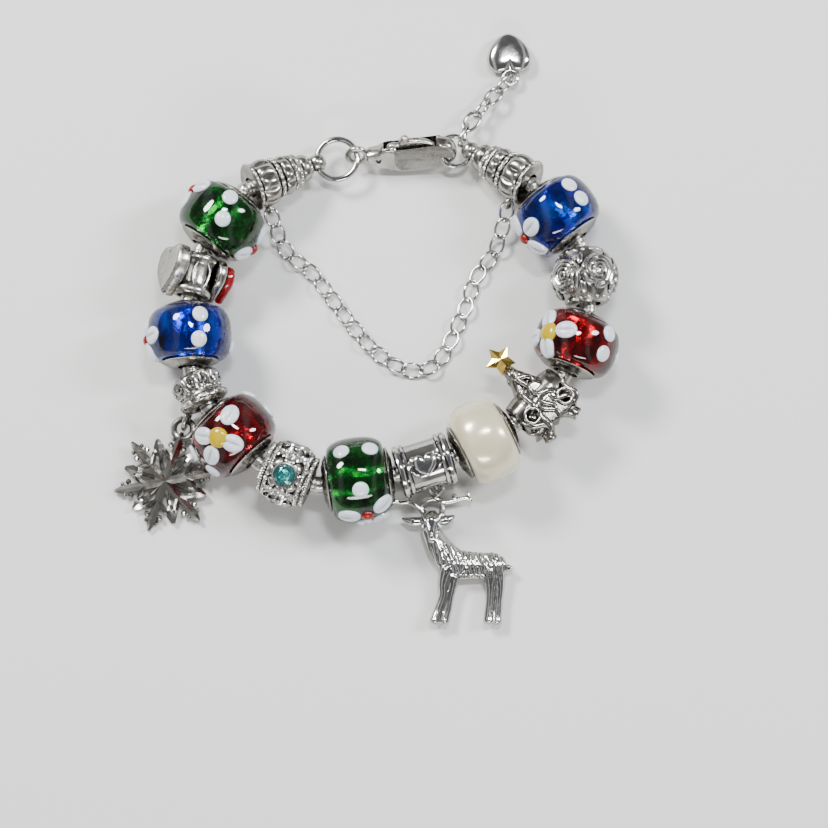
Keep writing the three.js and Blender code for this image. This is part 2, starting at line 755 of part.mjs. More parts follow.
// Reindeer, seen from its side with its head turned to the viewer: each limb is rings of
// [x, y, radius] in shares of its height, about its loop, and lift sets it off the middle in
// shares of its thickness
const deerLimbs = [
  {
    part: 'body',
    sides: 8,
    rings: [
      [0.03, -0.56, 0.05], [0.1, -0.57, 0.105], [0.2, -0.575, 0.112], [0.42, -0.585, 0.108],
      [0.49, -0.6, 0.075], [0.515, -0.61, 0.03],
    ],
  },
  {
    part: 'neck',
    sides: 7,
    rings: [[0.12, -0.55, 0.11], [0.05, -0.48, 0.1], [-0.005, -0.39, 0.085], [-0.05, -0.3, 0.07]],
  },
  {
    part: 'head',
    sides: 7,
    rings: [
      [-0.04, -0.2, 0.06], [-0.038, -0.24, 0.077], [-0.036, -0.29, 0.07], [-0.033, -0.4, 0.036],
    ],
  },
  {
    part: 'ear_left',
    sides: 4,
    rings: [[-0.1, -0.25, 0.034], [-0.18, -0.25, 0.036], [-0.26, -0.228, 0.01]],
  },
  {
    part: 'ear_right',
    sides: 4,
    rings: [[0.02, -0.25, 0.034], [0.085, -0.235, 0.036], [0.135, -0.207, 0.012]],
  },
  { part: 'tail', sides: 4, rings: [[0.5, -0.585, 0.04], [0.57, -0.6, 0.018]] },
  {
    part: 'antler_left',
    sides: 4,
    rings: [
      [-0.075, -0.24, 0.026], [-0.105, -0.17, 0.024], [-0.195, -0.106, 0.022],
      [-0.322, -0.1, 0.02], [-0.352, -0.155, 0.012],
    ],
  },
  { part: 'tine_left_out', sides: 4, rings: [[-0.318, -0.1, 0.02], [-0.33, -0.032, 0.013]] },
  { part: 'tine_left_in', sides: 4, rings: [[-0.19, -0.106, 0.02], [-0.2, -0.046, 0.014]] },
  {
    part: 'antler_right',
    sides: 4,
    rings: [
      [0.03, -0.24, 0.026], [0.045, -0.17, 0.024], [0.056, -0.112, 0.022], [0.24, -0.078, 0.02],
      [0.264, -0.102, 0.012],
    ],
  },
  { part: 'tine_right_in', sides: 4, rings: [[0.125, -0.095, 0.02], [0.137, -0.044, 0.018]] },
  { part: 'tine_right_out', sides: 4, rings: [[0.238, -0.078, 0.02], [0.24, -0.022, 0.013]] },
  {
    part: 'antler_bar',
    sides: 4,
    rings: [[-0.105, -0.15, 0.02], [-0.09, -0.1, 0.02], [0.01, -0.085, 0.022], [0.05, -0.11, 0.02]],
  },
  {
    part: 'leg_front_one',
    sides: 5,
    lift: 0.06,
    rings: [[0.08, -0.6, 0.062], [0.052, -0.72, 0.044], [0.018, -0.9, 0.036], [-0.012, -1.01, 0.044]],
  },
  {
    part: 'leg_front_two',
    sides: 5,
    lift: -0.04,
    rings: [[0.13, -0.6, 0.062], [0.115, -0.72, 0.044], [0.082, -0.9, 0.036], [0.058, -1.01, 0.042]],
  },
  {
    part: 'leg_hind_one',
    sides: 5,
    lift: 0.06,
    rings: [[0.4, -0.62, 0.07], [0.402, -0.74, 0.042], [0.393, -0.9, 0.036], [0.388, -1.01, 0.043]],
  },
  {
    part: 'leg_hind_two',
    sides: 5,
    lift: -0.04,
    rings: [[0.45, -0.62, 0.07], [0.466, -0.74, 0.042], [0.456, -0.9, 0.035], [0.45, -1.01, 0.041]],
  },
];
const deerBarRise = -0.085;

function reindeer() {
  const parts = deerLimbs.map(({ sides, rings, lift = 0 }) => limb(
    rings.map(([x, y, radius]) => (
      [x * deerHeight, y * deerHeight, lift * deerThickness, radius * deerHeight]
    )),
    sides,
  ));
  parts.push(limb([
    [0, deerBarRise * deerHeight, 0, deerLoopWire * 1.2],
    [0, -deerLoopRadius, 0, deerLoopWire],
  ], 4));
  const cast = solid(new THREE.BoxGeometry(2 * deerHeight, 3 * deerHeight, deerThickness));
  const loop = new THREE.TorusGeometry(deerLoopRadius, deerLoopWire, wireSides, 10);
  return join(parts).intersect(cast).add(solid(loop));
}

const deer = piece('reindeer', reindeer(), silver);
deer.geometry.rotateZ(-Math.PI / 2);
hangCharm(deer, tubeFrame, tubeHang.loop, deerHang, 0, deerHeight, deerThickness / 2);

// Heart bead: a barrel with a heart on each side, one plain and one that carries the enamel
function heartBead() {
  const frame = middleFrame('heart_bead');
  const inner = heartBarrelRadius * 0.72;
  const plate = (thickness, size) => (
    slab(heartOutline(heartPlateWidth * size, heartPlateHeight * size), thickness, 0.45)
  );
  const sides = solid(barrel(heartLength, heartBarrelRadius, [
    [-1, 0.86], [-0.85, 1], [-0.5, 1], [-0.45, 0.92], [0.45, 0.92], [0.5, 1], [0.85, 1], [1, 0.86],
  ]));
  const outer = plate(heartPlateThickness, 1).translate(0, 0, inner + heartPlateThickness / 2 + 0.4);
  const back = plate(heartPlateThickness * 0.7, 0.86).rotateX(Math.PI)
    .translate(0, 0, -inner - heartPlateThickness * 0.35 - 0.3);
  const passage = solid(turned([[-9, 0], [-9, boreRadius], [9, boreRadius], [9, 0]], coreSides));
  const body = sides.add(solid(outer)).add(solid(back)).subtract(passage);
  const silverHeart = piece('heart_bead', body, satinSilver);
  const enamelTop = inner + heartPlateThickness * 0.7 + 0.3 + seatGap + enamelThickness / 2;
  const enamel = slab(
    heartOutline(heartPlateWidth * 0.72, heartPlateHeight * 0.72), enamelThickness, 0.5,
  ).rotateX(Math.PI).translate(0, 0, -enamelTop);
  const enamelHeart = piece('heart_enamel', solid(enamel), redEnamel);
  const rolled = new THREE.Group();
  rolled.rotation.x = -radians(heartBeadRoll);
  rolled.add(silverHeart, enamelHeart);
  addTo(frame, rolled);
}
heartBead();

// A rose seen from above: two rounds of petals about a bud, rising from the given radius
function rose(size, surface) {
  const rows = [
    [-1, size * 0.9], [0.1, size, 0.1], [0.55, size * 0.72, 0.12], [0.25, size * 0.6],
    [0.75, size * 0.36, 0.15], [0.75, 0],
  ];
  return lobed([[-1, 0], ...rows], 8).rotateY(-Math.PI / 2).translate(0, 0, surface);
}

// Rose ball bead
const roseBall = [barrel(roseBallLength, roseBallRadius, [
  [-1, 0.66], [-0.86, 0.72], [-0.6, 0.86], [-0.2, 0.97], [0.2, 0.97], [0.6, 0.86],
  [0.86, 0.72], [1, 0.66],
])];
for (let i = 0; i < roseCount; i += 1) {
  const turn = roseFirst + i * (360 / roseCount);
  roseBall.push(around(rose(roseSize, roseBallRadius * 0.92), turn));
}
addTo(middleFrame('rose_ball_bead'), piece('rose_ball_bead', join(roseBall), agedSilver));

// Crystal rose bead: four round stones in collars among braided wire
function crystalRoseBead() {
  const frame = middleFrame('crystal_rose_bead');
  const collar = crystalRadius + seatGap + bezelWall;
  const table = crystalRoseRadius + 0.25;
  const girdle = table - 0.3;
  const parts = [barrel(crystalRoseLength, crystalRoseRadius, [
    [-1, 0.68, 0], [-0.8, 0.86, 0.1], [-0.35, 1, 0.08], [0.35, 1, 0.08], [0.8, 0.86, 0.1],
    [1, 0.68, 0],
  ], 16)];
  const seats = [];
  for (let i = 0; i < crystalCount; i += 1) {
    const turn = crystalFirst + i * (360 / crystalCount);
    parts.push(around(new THREE.CylinderGeometry(collar, collar + 0.3, 1.8, 8)
      .rotateX(Math.PI / 2).translate(0, 0, table - 0.9), turn));
    seats.push(around(new THREE.CylinderGeometry(
      crystalRadius + seatGap, crystalRadius + seatGap, crystalDepth + 1, 8,
    ).rotateX(Math.PI / 2).translate(0, 0, girdle - crystalDepth / 2 + 0.5), turn));
  }
  const setting = join(parts).subtract(join(seats));
  addTo(frame, piece('crystal_rose_bead', setting, agedSilver));
  const cut = [
    [0, girdle - crystalDepth + seatGap], [crystalRadius, girdle - 0.05],
    [crystalRadius, girdle + 0.1], [crystalRadius * 0.58, table + 0.15], [0, table + 0.15],
  ];
  for (let i = 0; i < crystalCount; i += 1) {
    const stone = new THREE.LatheGeometry(cut.map(([r, z]) => new THREE.Vector2(r, z)), 8)
      .rotateX(Math.PI / 2);
    addTo(frame, piece(
      `crystal_${i + 1}`,
      solid(around(stone, crystalFirst + i * (360 / crystalCount))),
      tealCrystal,
    ));
  }
}
crystalRoseBead();

// Tree bead: three tiers of boughs over two feet, with baubles and a gold star at the tip.
// It stands towards the inside of the loop, and the chain runs through its lower tier
const treeTiers = [
  { low: 0.12, high: 0.46, width: 1, waist: 0.5 },
  { low: 0.4, high: 0.72, width: 0.74, waist: 0.34 },
  { low: 0.66, high: 0.97, width: 0.5, waist: 0.14 },
];

function treeBead() {
  const frame = middleFrame('tree_bead');
  const base = -treeBelow;
  const parts = [];
  for (const { low, high, width, waist } of treeTiers) {
    const wide = (width * treeBaseWidth) / 2;
    const narrow = (waist * treeBaseWidth) / 2;
    const outline = new THREE.Shape();
    outline.moveTo(-wide, base + low * treeHeight);
    outline.lineTo(wide, base + low * treeHeight);
    outline.lineTo(wide * 0.92, base + (low + 0.07) * treeHeight);
    outline.lineTo(narrow, base + high * treeHeight);
    outline.lineTo(-narrow, base + high * treeHeight);
    outline.lineTo(-wide * 0.92, base + (low + 0.07) * treeHeight);
    parts.push(slab(outline, treeThickness * (0.62 + 0.38 * width), treeEdge));
  }
  for (const side of [-1, 1]) {
    parts.push(rod(
      new THREE.Vector3(side * treeBaseWidth * 0.2, base + treeHeight * 0.2, 0),
      new THREE.Vector3(side * treeBaseWidth * 0.32, base, 0), 1.3, 1.05, 8,
    ));
    parts.push(rod(new THREE.Vector3(side * treeLength * 0.3, 0, 0),
      new THREE.Vector3(side * treeLength * 0.5, 0, 0), metalEndRadius + 0.3,
      metalEndRadius, coreSides));
  }
  const boughs = [
    { x: -0.2, y: 0.24, turn: 60 }, { x: 0.12, y: 0.5, turn: 120 }, { x: -0.02, y: 0.76, turn: 66 },
  ];
  const baubles = [{ x: -0.3, y: 0.38 }, { x: 0.33, y: 0.28 }];
  const holes = [];
  for (const face of [-1, 1]) {
    const front = face * treeThickness * 0.47;
    for (const { x, y, turn } of boughs) {
      const bough = new THREE.Vector3(x * treeBaseWidth, base + y * treeHeight, front);
      const reach = new THREE.Vector3(Math.cos(radians(turn)), Math.sin(radians(turn)), 0);
      parts.push(rod(bough.clone().addScaledVector(reach, -1.6),
        bough.clone().addScaledVector(reach, 1.6), 0.62, 0.4, 4));
    }
    for (const { x, y } of baubles) {
      parts.push(new THREE.CylinderGeometry(baubleRadius + 0.45, baubleRadius + 0.6, 1.2, 8)
        .rotateX(Math.PI / 2).translate(x * treeBaseWidth, base + y * treeHeight, front));
      holes.push(new THREE.CylinderGeometry(baubleRadius, baubleRadius, 2.2, 6)
        .rotateX(Math.PI / 2).translate(x * treeBaseWidth, base + y * treeHeight, front * 1.1));
    }
  }
  const tip = base + 0.99 * treeHeight;
  parts.push(rod(new THREE.Vector3(0, base + 0.85 * treeHeight, 0),
    new THREE.Vector3(0, tip + starRadius * 0.6, 0), 1.3, 0.8, 7));
  const passage = turned([[-9, 0], [-9, boreRadius], [9, boreRadius], [9, 0]], coreSides);
  const body = join(parts).subtract(solid(passage)).subtract(join(holes));
  const points = new THREE.Shape();
  for (let i = 0; i < 10; i += 1) {
    const turn = radians(90 + i * 36);
    const reach = i % 2 ? starRadius * 0.5 : starRadius;
    if (i) points.lineTo(Math.cos(turn) * reach, Math.sin(turn) * reach);
    else points.moveTo(Math.cos(turn) * reach, Math.sin(turn) * reach);
  }
  const star = slab(points, starThickness, 0.25)
    .translate(0, tip + starRadius * 0.85, 1.05 + seatGap + starThickness / 2);
  addTo(frame, piece('tree_bead', body, agedSilver), piece('tree_star', solid(star), gold));
}
treeBead();

// End caps: a stack of rings from the flange at X 0 to the ball that the ring passes through
function endCap(name, side) {
  const { start, end, way } = places[name];
  const leftEnd = name === 'end_cap_left';
  const frame = frameAt(leftEnd ? end : start, way);
  const turn = leftEnd ? -1 : 1;
  const rows = [[0, 0, 0], [0, stopperRadius * 0.8, 0]];
  for (const { at, width, radius, lobe } of capSteps) {
    const edge = radius * stopperRadius;
    rows.push([(at - width * 0.4) * capLength, edge * 0.84, 0]);
    rows.push([(at - width * 0.16) * capLength, edge, lobe]);
    rows.push([(at + width * 0.2) * capLength, edge * 0.98, lobe]);
  }
  rows.push([capLength - capBallRadius, 0.9, 0], [capLength, 0.7, 0], [capLength, 0, 0]);
  const tip = new THREE.Vector3(capLength, 0, 0);
  const parts = [lobed(rows, 12), ball(tip, capBallRadius, 8, 6)];
  const stopper = capSteps[1];
  const ringAt = new THREE.Vector3(
    stopper.at * capLength * 0.8,
    side * turn * (stopperRadius * 0.9 + stopperRingRadius * 0.4),
    -1.6,
  );
  parts.push(new THREE.TorusGeometry(stopperRingRadius, stopperRingWire, wireSides, 10)
    .rotateY(Math.PI / 2).translate(ringAt.x, ringAt.y, ringAt.z));
  const socket = turned([
    [-1, 0], [-1, chainRadius + seatGap], [chainSink + seatGap, chainRadius + seatGap],
    [chainSink + seatGap, 0],
  ], coreSides);
  const ringWay = places[leftEnd ? 'jump_ring' : 'end_ring'].way;
  const wireWay = new THREE.Vector3().crossVectors(up, ringWay).normalize()
    .applyQuaternion(frame.quaternion.clone().invert());
  if (leftEnd) wireWay.applyAxisAngle(up, Math.PI);
  const hole = new THREE.CylinderGeometry(capBallHole, capBallHole, 6, 8)
    .applyQuaternion(new THREE.Quaternion().setFromUnitVectors(across, wireWay))
    .translate(tip.x, tip.y, tip.z);
  const body = join(parts).subtract(solid(socket)).subtract(solid(hole));
  const cap = piece(name, body, agedSilver);
  if (leftEnd) cap.rotation.z = Math.PI;
  addTo(frame, cap);
  cap.updateWorldMatrix(true, false);
  return ringAt.applyMatrix4(cap.matrixWorld);
}
const leftRing = endCap('end_cap_left', 1);
const rightRing = endCap('end_cap_right', 1);

// Snake chain through every bead, bent only between them
class ChainWay extends THREE.Curve {
  constructor(points) {
    super();
    this.points = points;
  }

  getPointAt(share) {
    const place = share * (this.points.length - 1);
    const i = Math.min(Math.floor(place + 1e-9), this.points.length - 2);
    return new THREE.Vector3().lerpVectors(this.points[i], this.points[i + 1], place - i);
  }

  getPoint(share) {
    return this.getPointAt(share);
  }

  getTangentAt(share) {
    const i = Math.round(share * (this.points.length - 1));
    const before = this.points[Math.max(i - 1, 0)];
    const after = this.points[Math.min(i + 1, this.points.length - 1)];
    return new THREE.Vector3().subVectors(after, before).normalize();
  }
}

function snakeChain() {
  const beads = line.slice(1, 14).map(({ name }) => places[name]);
  const left = places.end_cap_left;
  const right = places.end_cap_right;
  const points = [
    left.end.clone().addScaledVector(left.way, -chainSink),
    ...beads.map(({ joint }) => joint),
    right.joint,
    right.start.clone().addScaledVector(right.way, chainSink),
  ];
  const section = new THREE.Shape().absarc(0, 0, chainRadius, 0, Math.PI * 2);
  const tube = new THREE.ExtrudeGeometry(section, {
    steps: points.length - 1,
    curveSegments: 5,
    extrudePath: new ChainWay(points),
    bevelEnabled: false,
  });
  bracelet.add(piece('core_chain', solid(tube), satinSilver));
}
snakeChain();

// Rings that join the end caps and the clasp
function ring(name, radius, wire, steps) {
  const form = new THREE.TorusGeometry(radius, wire, wireSides, steps);
  addTo(middleFrame(name), piece(name, solid(form), silver));
}
ring('jump_ring', jumpRingRadius, jumpRingWire, ringSteps);
ring('end_ring', endRingRadius, endRingWire, ringSteps - 6);

// Lobster clasp, in a frame with X from its eye to its hook and Y across the claw
const hookEnd = claspLength - eyeRadius - eyeWire;
const halfWidth = claspWidth / 2;
const clawStart = pivotX + 0.5;

function clawOutline() {
  const outline = new THREE.Shape();
  outline.moveTo(eyeRadius + 0.1, neckRadius);
  outline.lineTo(eyeRadius + 0.1, -neckRadius);
  outline.bezierCurveTo(pivotX * 0.6, -halfWidth * 0.75, pivotX, -halfWidth, hookEnd * 0.5,
    -halfWidth);
  outline.bezierCurveTo(hookEnd * 0.85, -halfWidth, hookEnd, -halfWidth * 0.6, hookEnd, 0);
  outline.bezierCurveTo(hookEnd, halfWidth * 0.55, hookEnd - 0.8, halfWidth * 0.86,
    pivotX + leverReach + seatGap, halfWidth * 0.86);
  outline.lineTo(pivotX + leverReach + seatGap, noseLow);
  outline.bezierCurveTo(hookEnd - claspArm - 0.3, noseLow, hookEnd - claspArm, noseLow * 0.4,
    hookEnd - claspArm, -0.1);
  outline.bezierCurveTo(hookEnd - claspArm, -halfWidth * 0.5, hookEnd * 0.72,
    -halfWidth + claspArm, hookEnd * 0.5, -halfWidth + claspArm);
  outline.bezierCurveTo(hookEnd * 0.42, -halfWidth + claspArm, clawStart + 0.6,
    -halfWidth + claspArm, clawStart + 0.3, pivotRise - leverRootRadius - seatGap - 0.1);
  outline.lineTo(clawStart + 0.2, pivotRise + 0.7);
  outline.bezierCurveTo(clawStart - 0.1, halfWidth * 0.8, pivotX * 0.7, halfWidth * 0.7,
    pivotX * 0.6, halfWidth * 0.42);
  outline.lineTo(eyeRadius + 0.1, neckRadius);
  return outline;
}

function leverOutline() {
  const outline = new THREE.Shape();
  const tip = pivotX + leverReach;
  const low = halfWidth * 0.32;
  outline.moveTo(pivotX, pivotRise - leverRootRadius);
  outline.bezierCurveTo(pivotX + 2, pivotRise - leverRootRadius + 0.3, tip - 2, halfWidth * 0.62,
    tip, low);
  outline.lineTo(tip, low + leverBar);
  outline.bezierCurveTo(tip - 1.5, halfWidth + 0.1, pivotX + 3.4, halfWidth, pivotX + 2.6,
    halfWidth * 0.95);
  outline.lineTo(pivotX + 2.2, halfWidth + tabRise * 0.5);
  outline.lineTo(pivotX + 1.2, halfWidth + tabRise * 0.4);
  outline.lineTo(pivotX + 0.9, pivotRise + leverRootRadius);
  outline.lineTo(pivotX, pivotRise + leverRootRadius);
  outline.absarc(pivotX, pivotRise, leverRootRadius, Math.PI / 2, Math.PI * 1.5, false);
  return outline;
}

function clasp() {
  const frame = frameAt(places.clasp.end, places.clasp.way);
  const leaning = new THREE.Group();
  leaning.rotation.set(Math.PI / 2 - radians(claspLean), 0, Math.PI, 'ZXY');
  const eye = new THREE.TorusGeometry(eyeRadius, eyeWire, wireSides, 14);
  const collar = turned([[0, 0], [0, 1.15], [0.5, 1.15], [0.5, 0]], 8)
    .translate(eyeRadius + 0.25, 0, 0);
  const slotWidth = leverThickness + 2 * leverGap;
  const rootReach = leverRootRadius + seatGap;
  const slot = new THREE.BoxGeometry(2 * rootReach + 3, 2 * rootReach + 3, slotWidth)
    .translate(pivotX + 1.5, pivotRise + 1.5, 0);
  const pin = new THREE.CylinderGeometry(pinRadius, pinRadius, claspThickness - 0.2, 8)
    .rotateX(Math.PI / 2).translate(pivotX, pivotRise, 0);
  const body = solid(slab(clawOutline(), claspThickness, claspBevel))
    .subtract(solid(slot)).add(solid(pin)).add(solid(eye)).add(solid(collar));
  const hole = new THREE.CylinderGeometry(pinRadius + seatGap, pinRadius + seatGap, 5, 8)
    .rotateX(Math.PI / 2).translate(pivotX, pivotRise, 0);
  const lever = solid(slab(leverOutline(), leverThickness, 0.25)).subtract(solid(hole));
  leaning.add(piece('clasp_body', body, silver), piece('clasp_lever', lever, silver));
  addTo(frame, leaning);
}
clasp();

// Links along a way: each one crosses into the last, turned about the way
function chain(middles, ways, halfLength, width, wire) {
  const links = middles.map((middle, i) => {
    const frame = frameAt(middle, ways[i]);
    frame.updateMatrix();
    return link(halfLength, width, wire).rotateX(radians(extensionLay[i].roll))
      .applyMatrix4(frame.matrix);
  });
  return join(links);
}

// Safety chain, as the tube that its links fill, between the two stopper rings
function safetyChain() {
  const reach = stopperRingRadius + stopperRingWire + seatGap;
  const stopAt = (ringAt, next) => ringAt.clone()
    .addScaledVector(new THREE.Vector3(...next).sub(ringAt).normalize(), reach);
  const route = [
    stopAt(leftRing, safetyRoute[0]),
    ...safetyRoute.map((point) => new THREE.Vector3(...point)),
    stopAt(rightRing, safetyRoute[safetyRoute.length - 1]),
  ];
  const section = new THREE.Shape().absarc(0, 0, safetyRadius, 0, Math.PI * 2);
  const tube = new THREE.ExtrudeGeometry(section, {
    steps: safetySteps,
    curveSegments: 4,
    extrudePath: new THREE.CatmullRomCurve3(route, false, 'centripetal'),
    bevelEnabled: false,
  });
  bracelet.add(piece('safety_chain', solid(tube), silver));
}
safetyChain();

// Extension chain from the end ring to the heart drop
function extension() {
  const { start, end } = places.end_ring;
  const centre = new THREE.Vector3().addVectors(start, end).multiplyScalar(0.5);
  const turn = radians(extensionDirection + extensionSwing);
  const wirePoint = new THREE.Vector3(Math.cos(turn), Math.sin(turn), 0)
    .multiplyScalar(endRingRadius).add(centre);
  const half = extensionLinkLength / 2 - extensionWire;
  const pitch = 2 * half - 2 * extensionWire + fuseDepth;
  const flat = radians(extensionDirection);
  const rest = heartDropThickness / 2 + 0.05;
  const run = extensionLay.length * pitch;
  const ways = extensionLay.map(({ bend }) => (
    new THREE.Vector3(
      Math.cos(flat + radians(bend)),
      Math.sin(flat + radians(bend)),
      (rest - wirePoint.z) / run,
    ).normalize()
  ));
  const begin = wirePoint.clone()
    .addScaledVector(ways[0], -(endRingWire + extensionSlack + extensionWire));
  const middles = [];
  for (const way of ways) {
    middles.push(begin.clone().addScaledVector(way, half));
    begin.addScaledVector(way, pitch);
  }
  const body = chain(middles, ways, half, extensionLinkWidth, extensionWire);
  bracelet.add(piece('extension_chain', body, silver));
  const last = extensionLay.length - 1;
  const lastWire = middles[last].clone().addScaledVector(ways[last], half);
  const dropFrame = new THREE.Group();
  dropFrame.position.copy(lastWire);
  dropFrame.rotation.z = flat + radians(heartDropBend);
  const loop = new THREE.TorusGeometry(heartDropRing, heartDropWire, wireSides, 10);
  const notch = heartDropRing + heartDropWire + heartDropNeck;
  const neck = rod(new THREE.Vector3(heartDropRing, 0, 0), new THREE.Vector3(notch + 0.5, 0, 0),
    heartDropWire + 0.1, heartDropWire + 0.1, wireSides);
  const heartMiddle = notch + heartDropHeight * 0.3;
  const heart = new THREE.ExtrudeGeometry(heartOutline(heartDropWidth, heartDropHeight), {
    depth: 0.3,
    bevelThickness: heartDropThickness / 2 - 0.15,
    bevelSize: 1.1,
    bevelOffset: -1.1,
    bevelSegments: 3,
    curveSegments: 4,
  }).translate(heartMiddle, 0, -0.15);
  dropFrame.add(piece('heart_drop', join([heart, neck, loop]), silver));
  bracelet.add(dropFrame);
}
extension();

// The footprint's middle on the table is the origin
bracelet.updateMatrixWorld(true);
const extent = new THREE.Box3().setFromObject(bracelet, true);
const centre = extent.getCenter(new THREE.Vector3());
bracelet.position.set(-centre.x, -centre.y, -extent.min.z);
bracelet.updateMatrixWorld(true);

export default bracelet;
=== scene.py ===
"""Charm bracelet on a pale table: glass, pearl and silver beads, a lobster clasp and two chains.

Sizes are in millimetres until a piece is put out, and each bead's place is worked out from the
chain in model.glb.
"""

import logging
import math
from dataclasses import dataclass, field
from enum import Enum
from typing import Callable, Iterable, Sequence

import bpy
import numpy as np
from mathutils import Matrix, Quaternion, Vector


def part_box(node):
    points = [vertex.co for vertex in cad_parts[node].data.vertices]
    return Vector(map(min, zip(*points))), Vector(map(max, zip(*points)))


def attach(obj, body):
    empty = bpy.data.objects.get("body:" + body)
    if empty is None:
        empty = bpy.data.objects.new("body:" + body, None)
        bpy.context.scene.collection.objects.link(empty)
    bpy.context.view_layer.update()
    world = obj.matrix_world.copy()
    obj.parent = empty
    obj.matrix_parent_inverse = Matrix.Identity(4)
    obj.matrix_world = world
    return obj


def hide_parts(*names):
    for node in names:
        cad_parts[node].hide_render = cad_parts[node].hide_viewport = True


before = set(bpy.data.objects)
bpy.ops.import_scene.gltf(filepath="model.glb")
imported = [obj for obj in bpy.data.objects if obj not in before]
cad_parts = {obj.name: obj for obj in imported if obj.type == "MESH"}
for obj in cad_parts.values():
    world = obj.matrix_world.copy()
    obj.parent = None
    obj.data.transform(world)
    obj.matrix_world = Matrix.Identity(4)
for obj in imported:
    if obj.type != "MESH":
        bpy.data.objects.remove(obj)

MM = 0.001
ROOT = "bracelet"
LEVER = "lever"
log = logging.getLogger("bracelet")

Row = tuple[float, ...]
Point = tuple[float, float, float]
Rows = tuple[Row, ...]
Shape = Callable[[float, float, float], float]
Piece = bpy.types.Object
Socket = bpy.types.NodeSocket


# Mesh forms


@dataclass
class Form:
    """Vertices and faces of one piece in millimetres, with a finish number for each face."""

    points: list[np.ndarray] = field(default_factory=list)
    faces: list[tuple[int, ...]] = field(default_factory=list)
    finishes: list[int] = field(default_factory=list)
    count: int = 0

    def add(self, parts: "Part | Iterable[Part]", place: Matrix | None = None,
            finish: int = 0) -> "Form":
        """Adds one part or several.

        Args:
            parts: The part or parts.
            place: Where they go, or None to leave them where they are.
            finish: The number of their finish.

        Returns:
            This form.
        """
        for part in (parts,) if isinstance(parts, Part) else parts:
            part = outward(part if place is None else moved(part, place))
            self.points.append(part.points)
            self.faces += [tuple(i + self.count for i in face) for face in part.faces]
            self.finishes += [finish] * len(part.faces)
            self.count += len(part.points)
        return self


@dataclass(frozen=True)
class Part:
    """One closed skin: its vertices in millimetres and its faces."""

    points: np.ndarray
    faces: list[tuple[int, ...]]


def outward(part: Part) -> Part:
    """Returns the part with its faces turned outwards, by the sign of its volume."""
    volume = 0.0
    for size in {len(face) for face in part.faces}:
        faces = np.array([face for face in part.faces if len(face) == size])
        first = part.points[faces[:, 0]]
        for k in range(1, size - 1):
            sides = np.cross(part.points[faces[:, k]], part.points[faces[:, k + 1]])
            volume += float(np.einsum("ij,ij->", first, sides))
    return part if volume > 0 else Part(part.points, [face[::-1] for face in part.faces])


def moved(part: Part, place: Matrix) -> Part:
    """Returns the part put through a 4x4 matrix."""
    turn = np.array(place.to_3x3())
    return Part(part.points @ turn.T + np.array(place.translation), part.faces)


def shift(x: float = 0.0, y: float = 0.0, z: float = 0.0) -> Matrix:
    """Returns a matrix that moves by x, y and z."""
    return Matrix.Translation((x, y, z))


def spin(angle: float, axis: str) -> Matrix:
    """Returns a matrix that turns by an angle in degrees about X, Y or Z."""
    return Matrix.Rotation(math.radians(angle), 4, axis)


def roll(angle: float) -> Matrix:
    """Returns the turn about the bead's axis that takes its top round by an angle in degrees."""
    return spin(-angle, "X")


def stretch(x: float, y: float, z: float) -> Matrix:
    """Returns a matrix that scales along the three axes."""
    return Matrix.Diagonal((x, y, z, 1.0))


def skin(rings: Sequence[np.ndarray], closed: bool = False, capped: bool = True) -> Part:
    """Joins rings of equal length into a skin.

    Args:
        rings: The rings, each an array of points.
        closed: True if the last ring joins the first.
        capped: True if a face closes each end of an open row of rings.

    Returns:
        The part.
    """
    sides = len(rings[0])
    faces: list[tuple[int, ...]] = []
    turns = len(rings) if closed else len(rings) - 1
    for k in range(turns):
        low = k * sides
        high = ((k + 1) % len(rings)) * sides
        for i in range(sides):
            j = (i + 1) % sides
            faces.append((low + i, low + j, high + j, high + i))
    if not closed and capped:
        faces.append(tuple(range(sides))[::-1])
        last = (len(rings) - 1) * sides
        faces.append(tuple(last + i for i in range(sides)))
    return Part(np.concatenate(rings), faces)


def unit(rows: np.ndarray) -> np.ndarray:
    """Returns an array's vectors at length 1."""
    return rows / np.maximum(np.linalg.norm(rows, axis=-1, keepdims=True), 1e-6)


def turns_of(steps: int) -> np.ndarray:
    """Returns even angles for one turn."""
    return 2 * math.pi * np.arange(steps) / steps


def arc(radius: float | np.ndarray, angles: np.ndarray,
        height: float | np.ndarray = 0.0) -> np.ndarray:
    """Returns the points at those radii, angles and heights about Z."""
    flat = (radius * np.cos(angles), radius * np.sin(angles), height)
    return np.column_stack(np.broadcast_arrays(*flat))


def lathe(rows: Sequence[Row], sides: int, closed: bool = False,
          shape: Shape | None = None) -> Part:
    """Turns (x, radius) rows about X.

    Args:
        rows: The profile, from the low end to the high end.
        sides: How many sides the turned form has.
        closed: True if the profile closes on itself.
        shape: Gives a factor on the radius from x, the radius and the angle.

    Returns:
        The part.
    """
    angles = turns_of(sides)
    rings = []
    for x, radius in rows:
        reach = [radius * (shape(x, radius, angle) if shape else 1.0) for angle in angles]
        rings.append(arc(np.array(reach), angles, x)[:, (2, 1, 0)])
    return skin(rings, closed=closed)


def bored(rows: Sequence[Row], inner: float, sides: int, shape: Shape | None = None) -> Part:
    """Turns a profile about X and leaves a round hole of the given radius through it."""
    closed = list(rows) + [(rows[-1][0], inner), (rows[0][0], inner)]

    def only_outside(x: float, radius: float, angle: float) -> float:
        """Returns the shape's factor, or 1 on the wall of the hole."""
        return 1.0 if shape is None or radius <= inner else shape(x, radius, angle)

    return lathe(closed, sides, closed=True, shape=only_outside)


def ways_along(path: np.ndarray, closed: bool) -> np.ndarray:
    """Returns a path's direction at each of its points."""
    if closed:
        return unit(np.roll(path, -1, axis=0) - np.roll(path, 1, axis=0))
    return unit(np.gradient(path, axis=0))


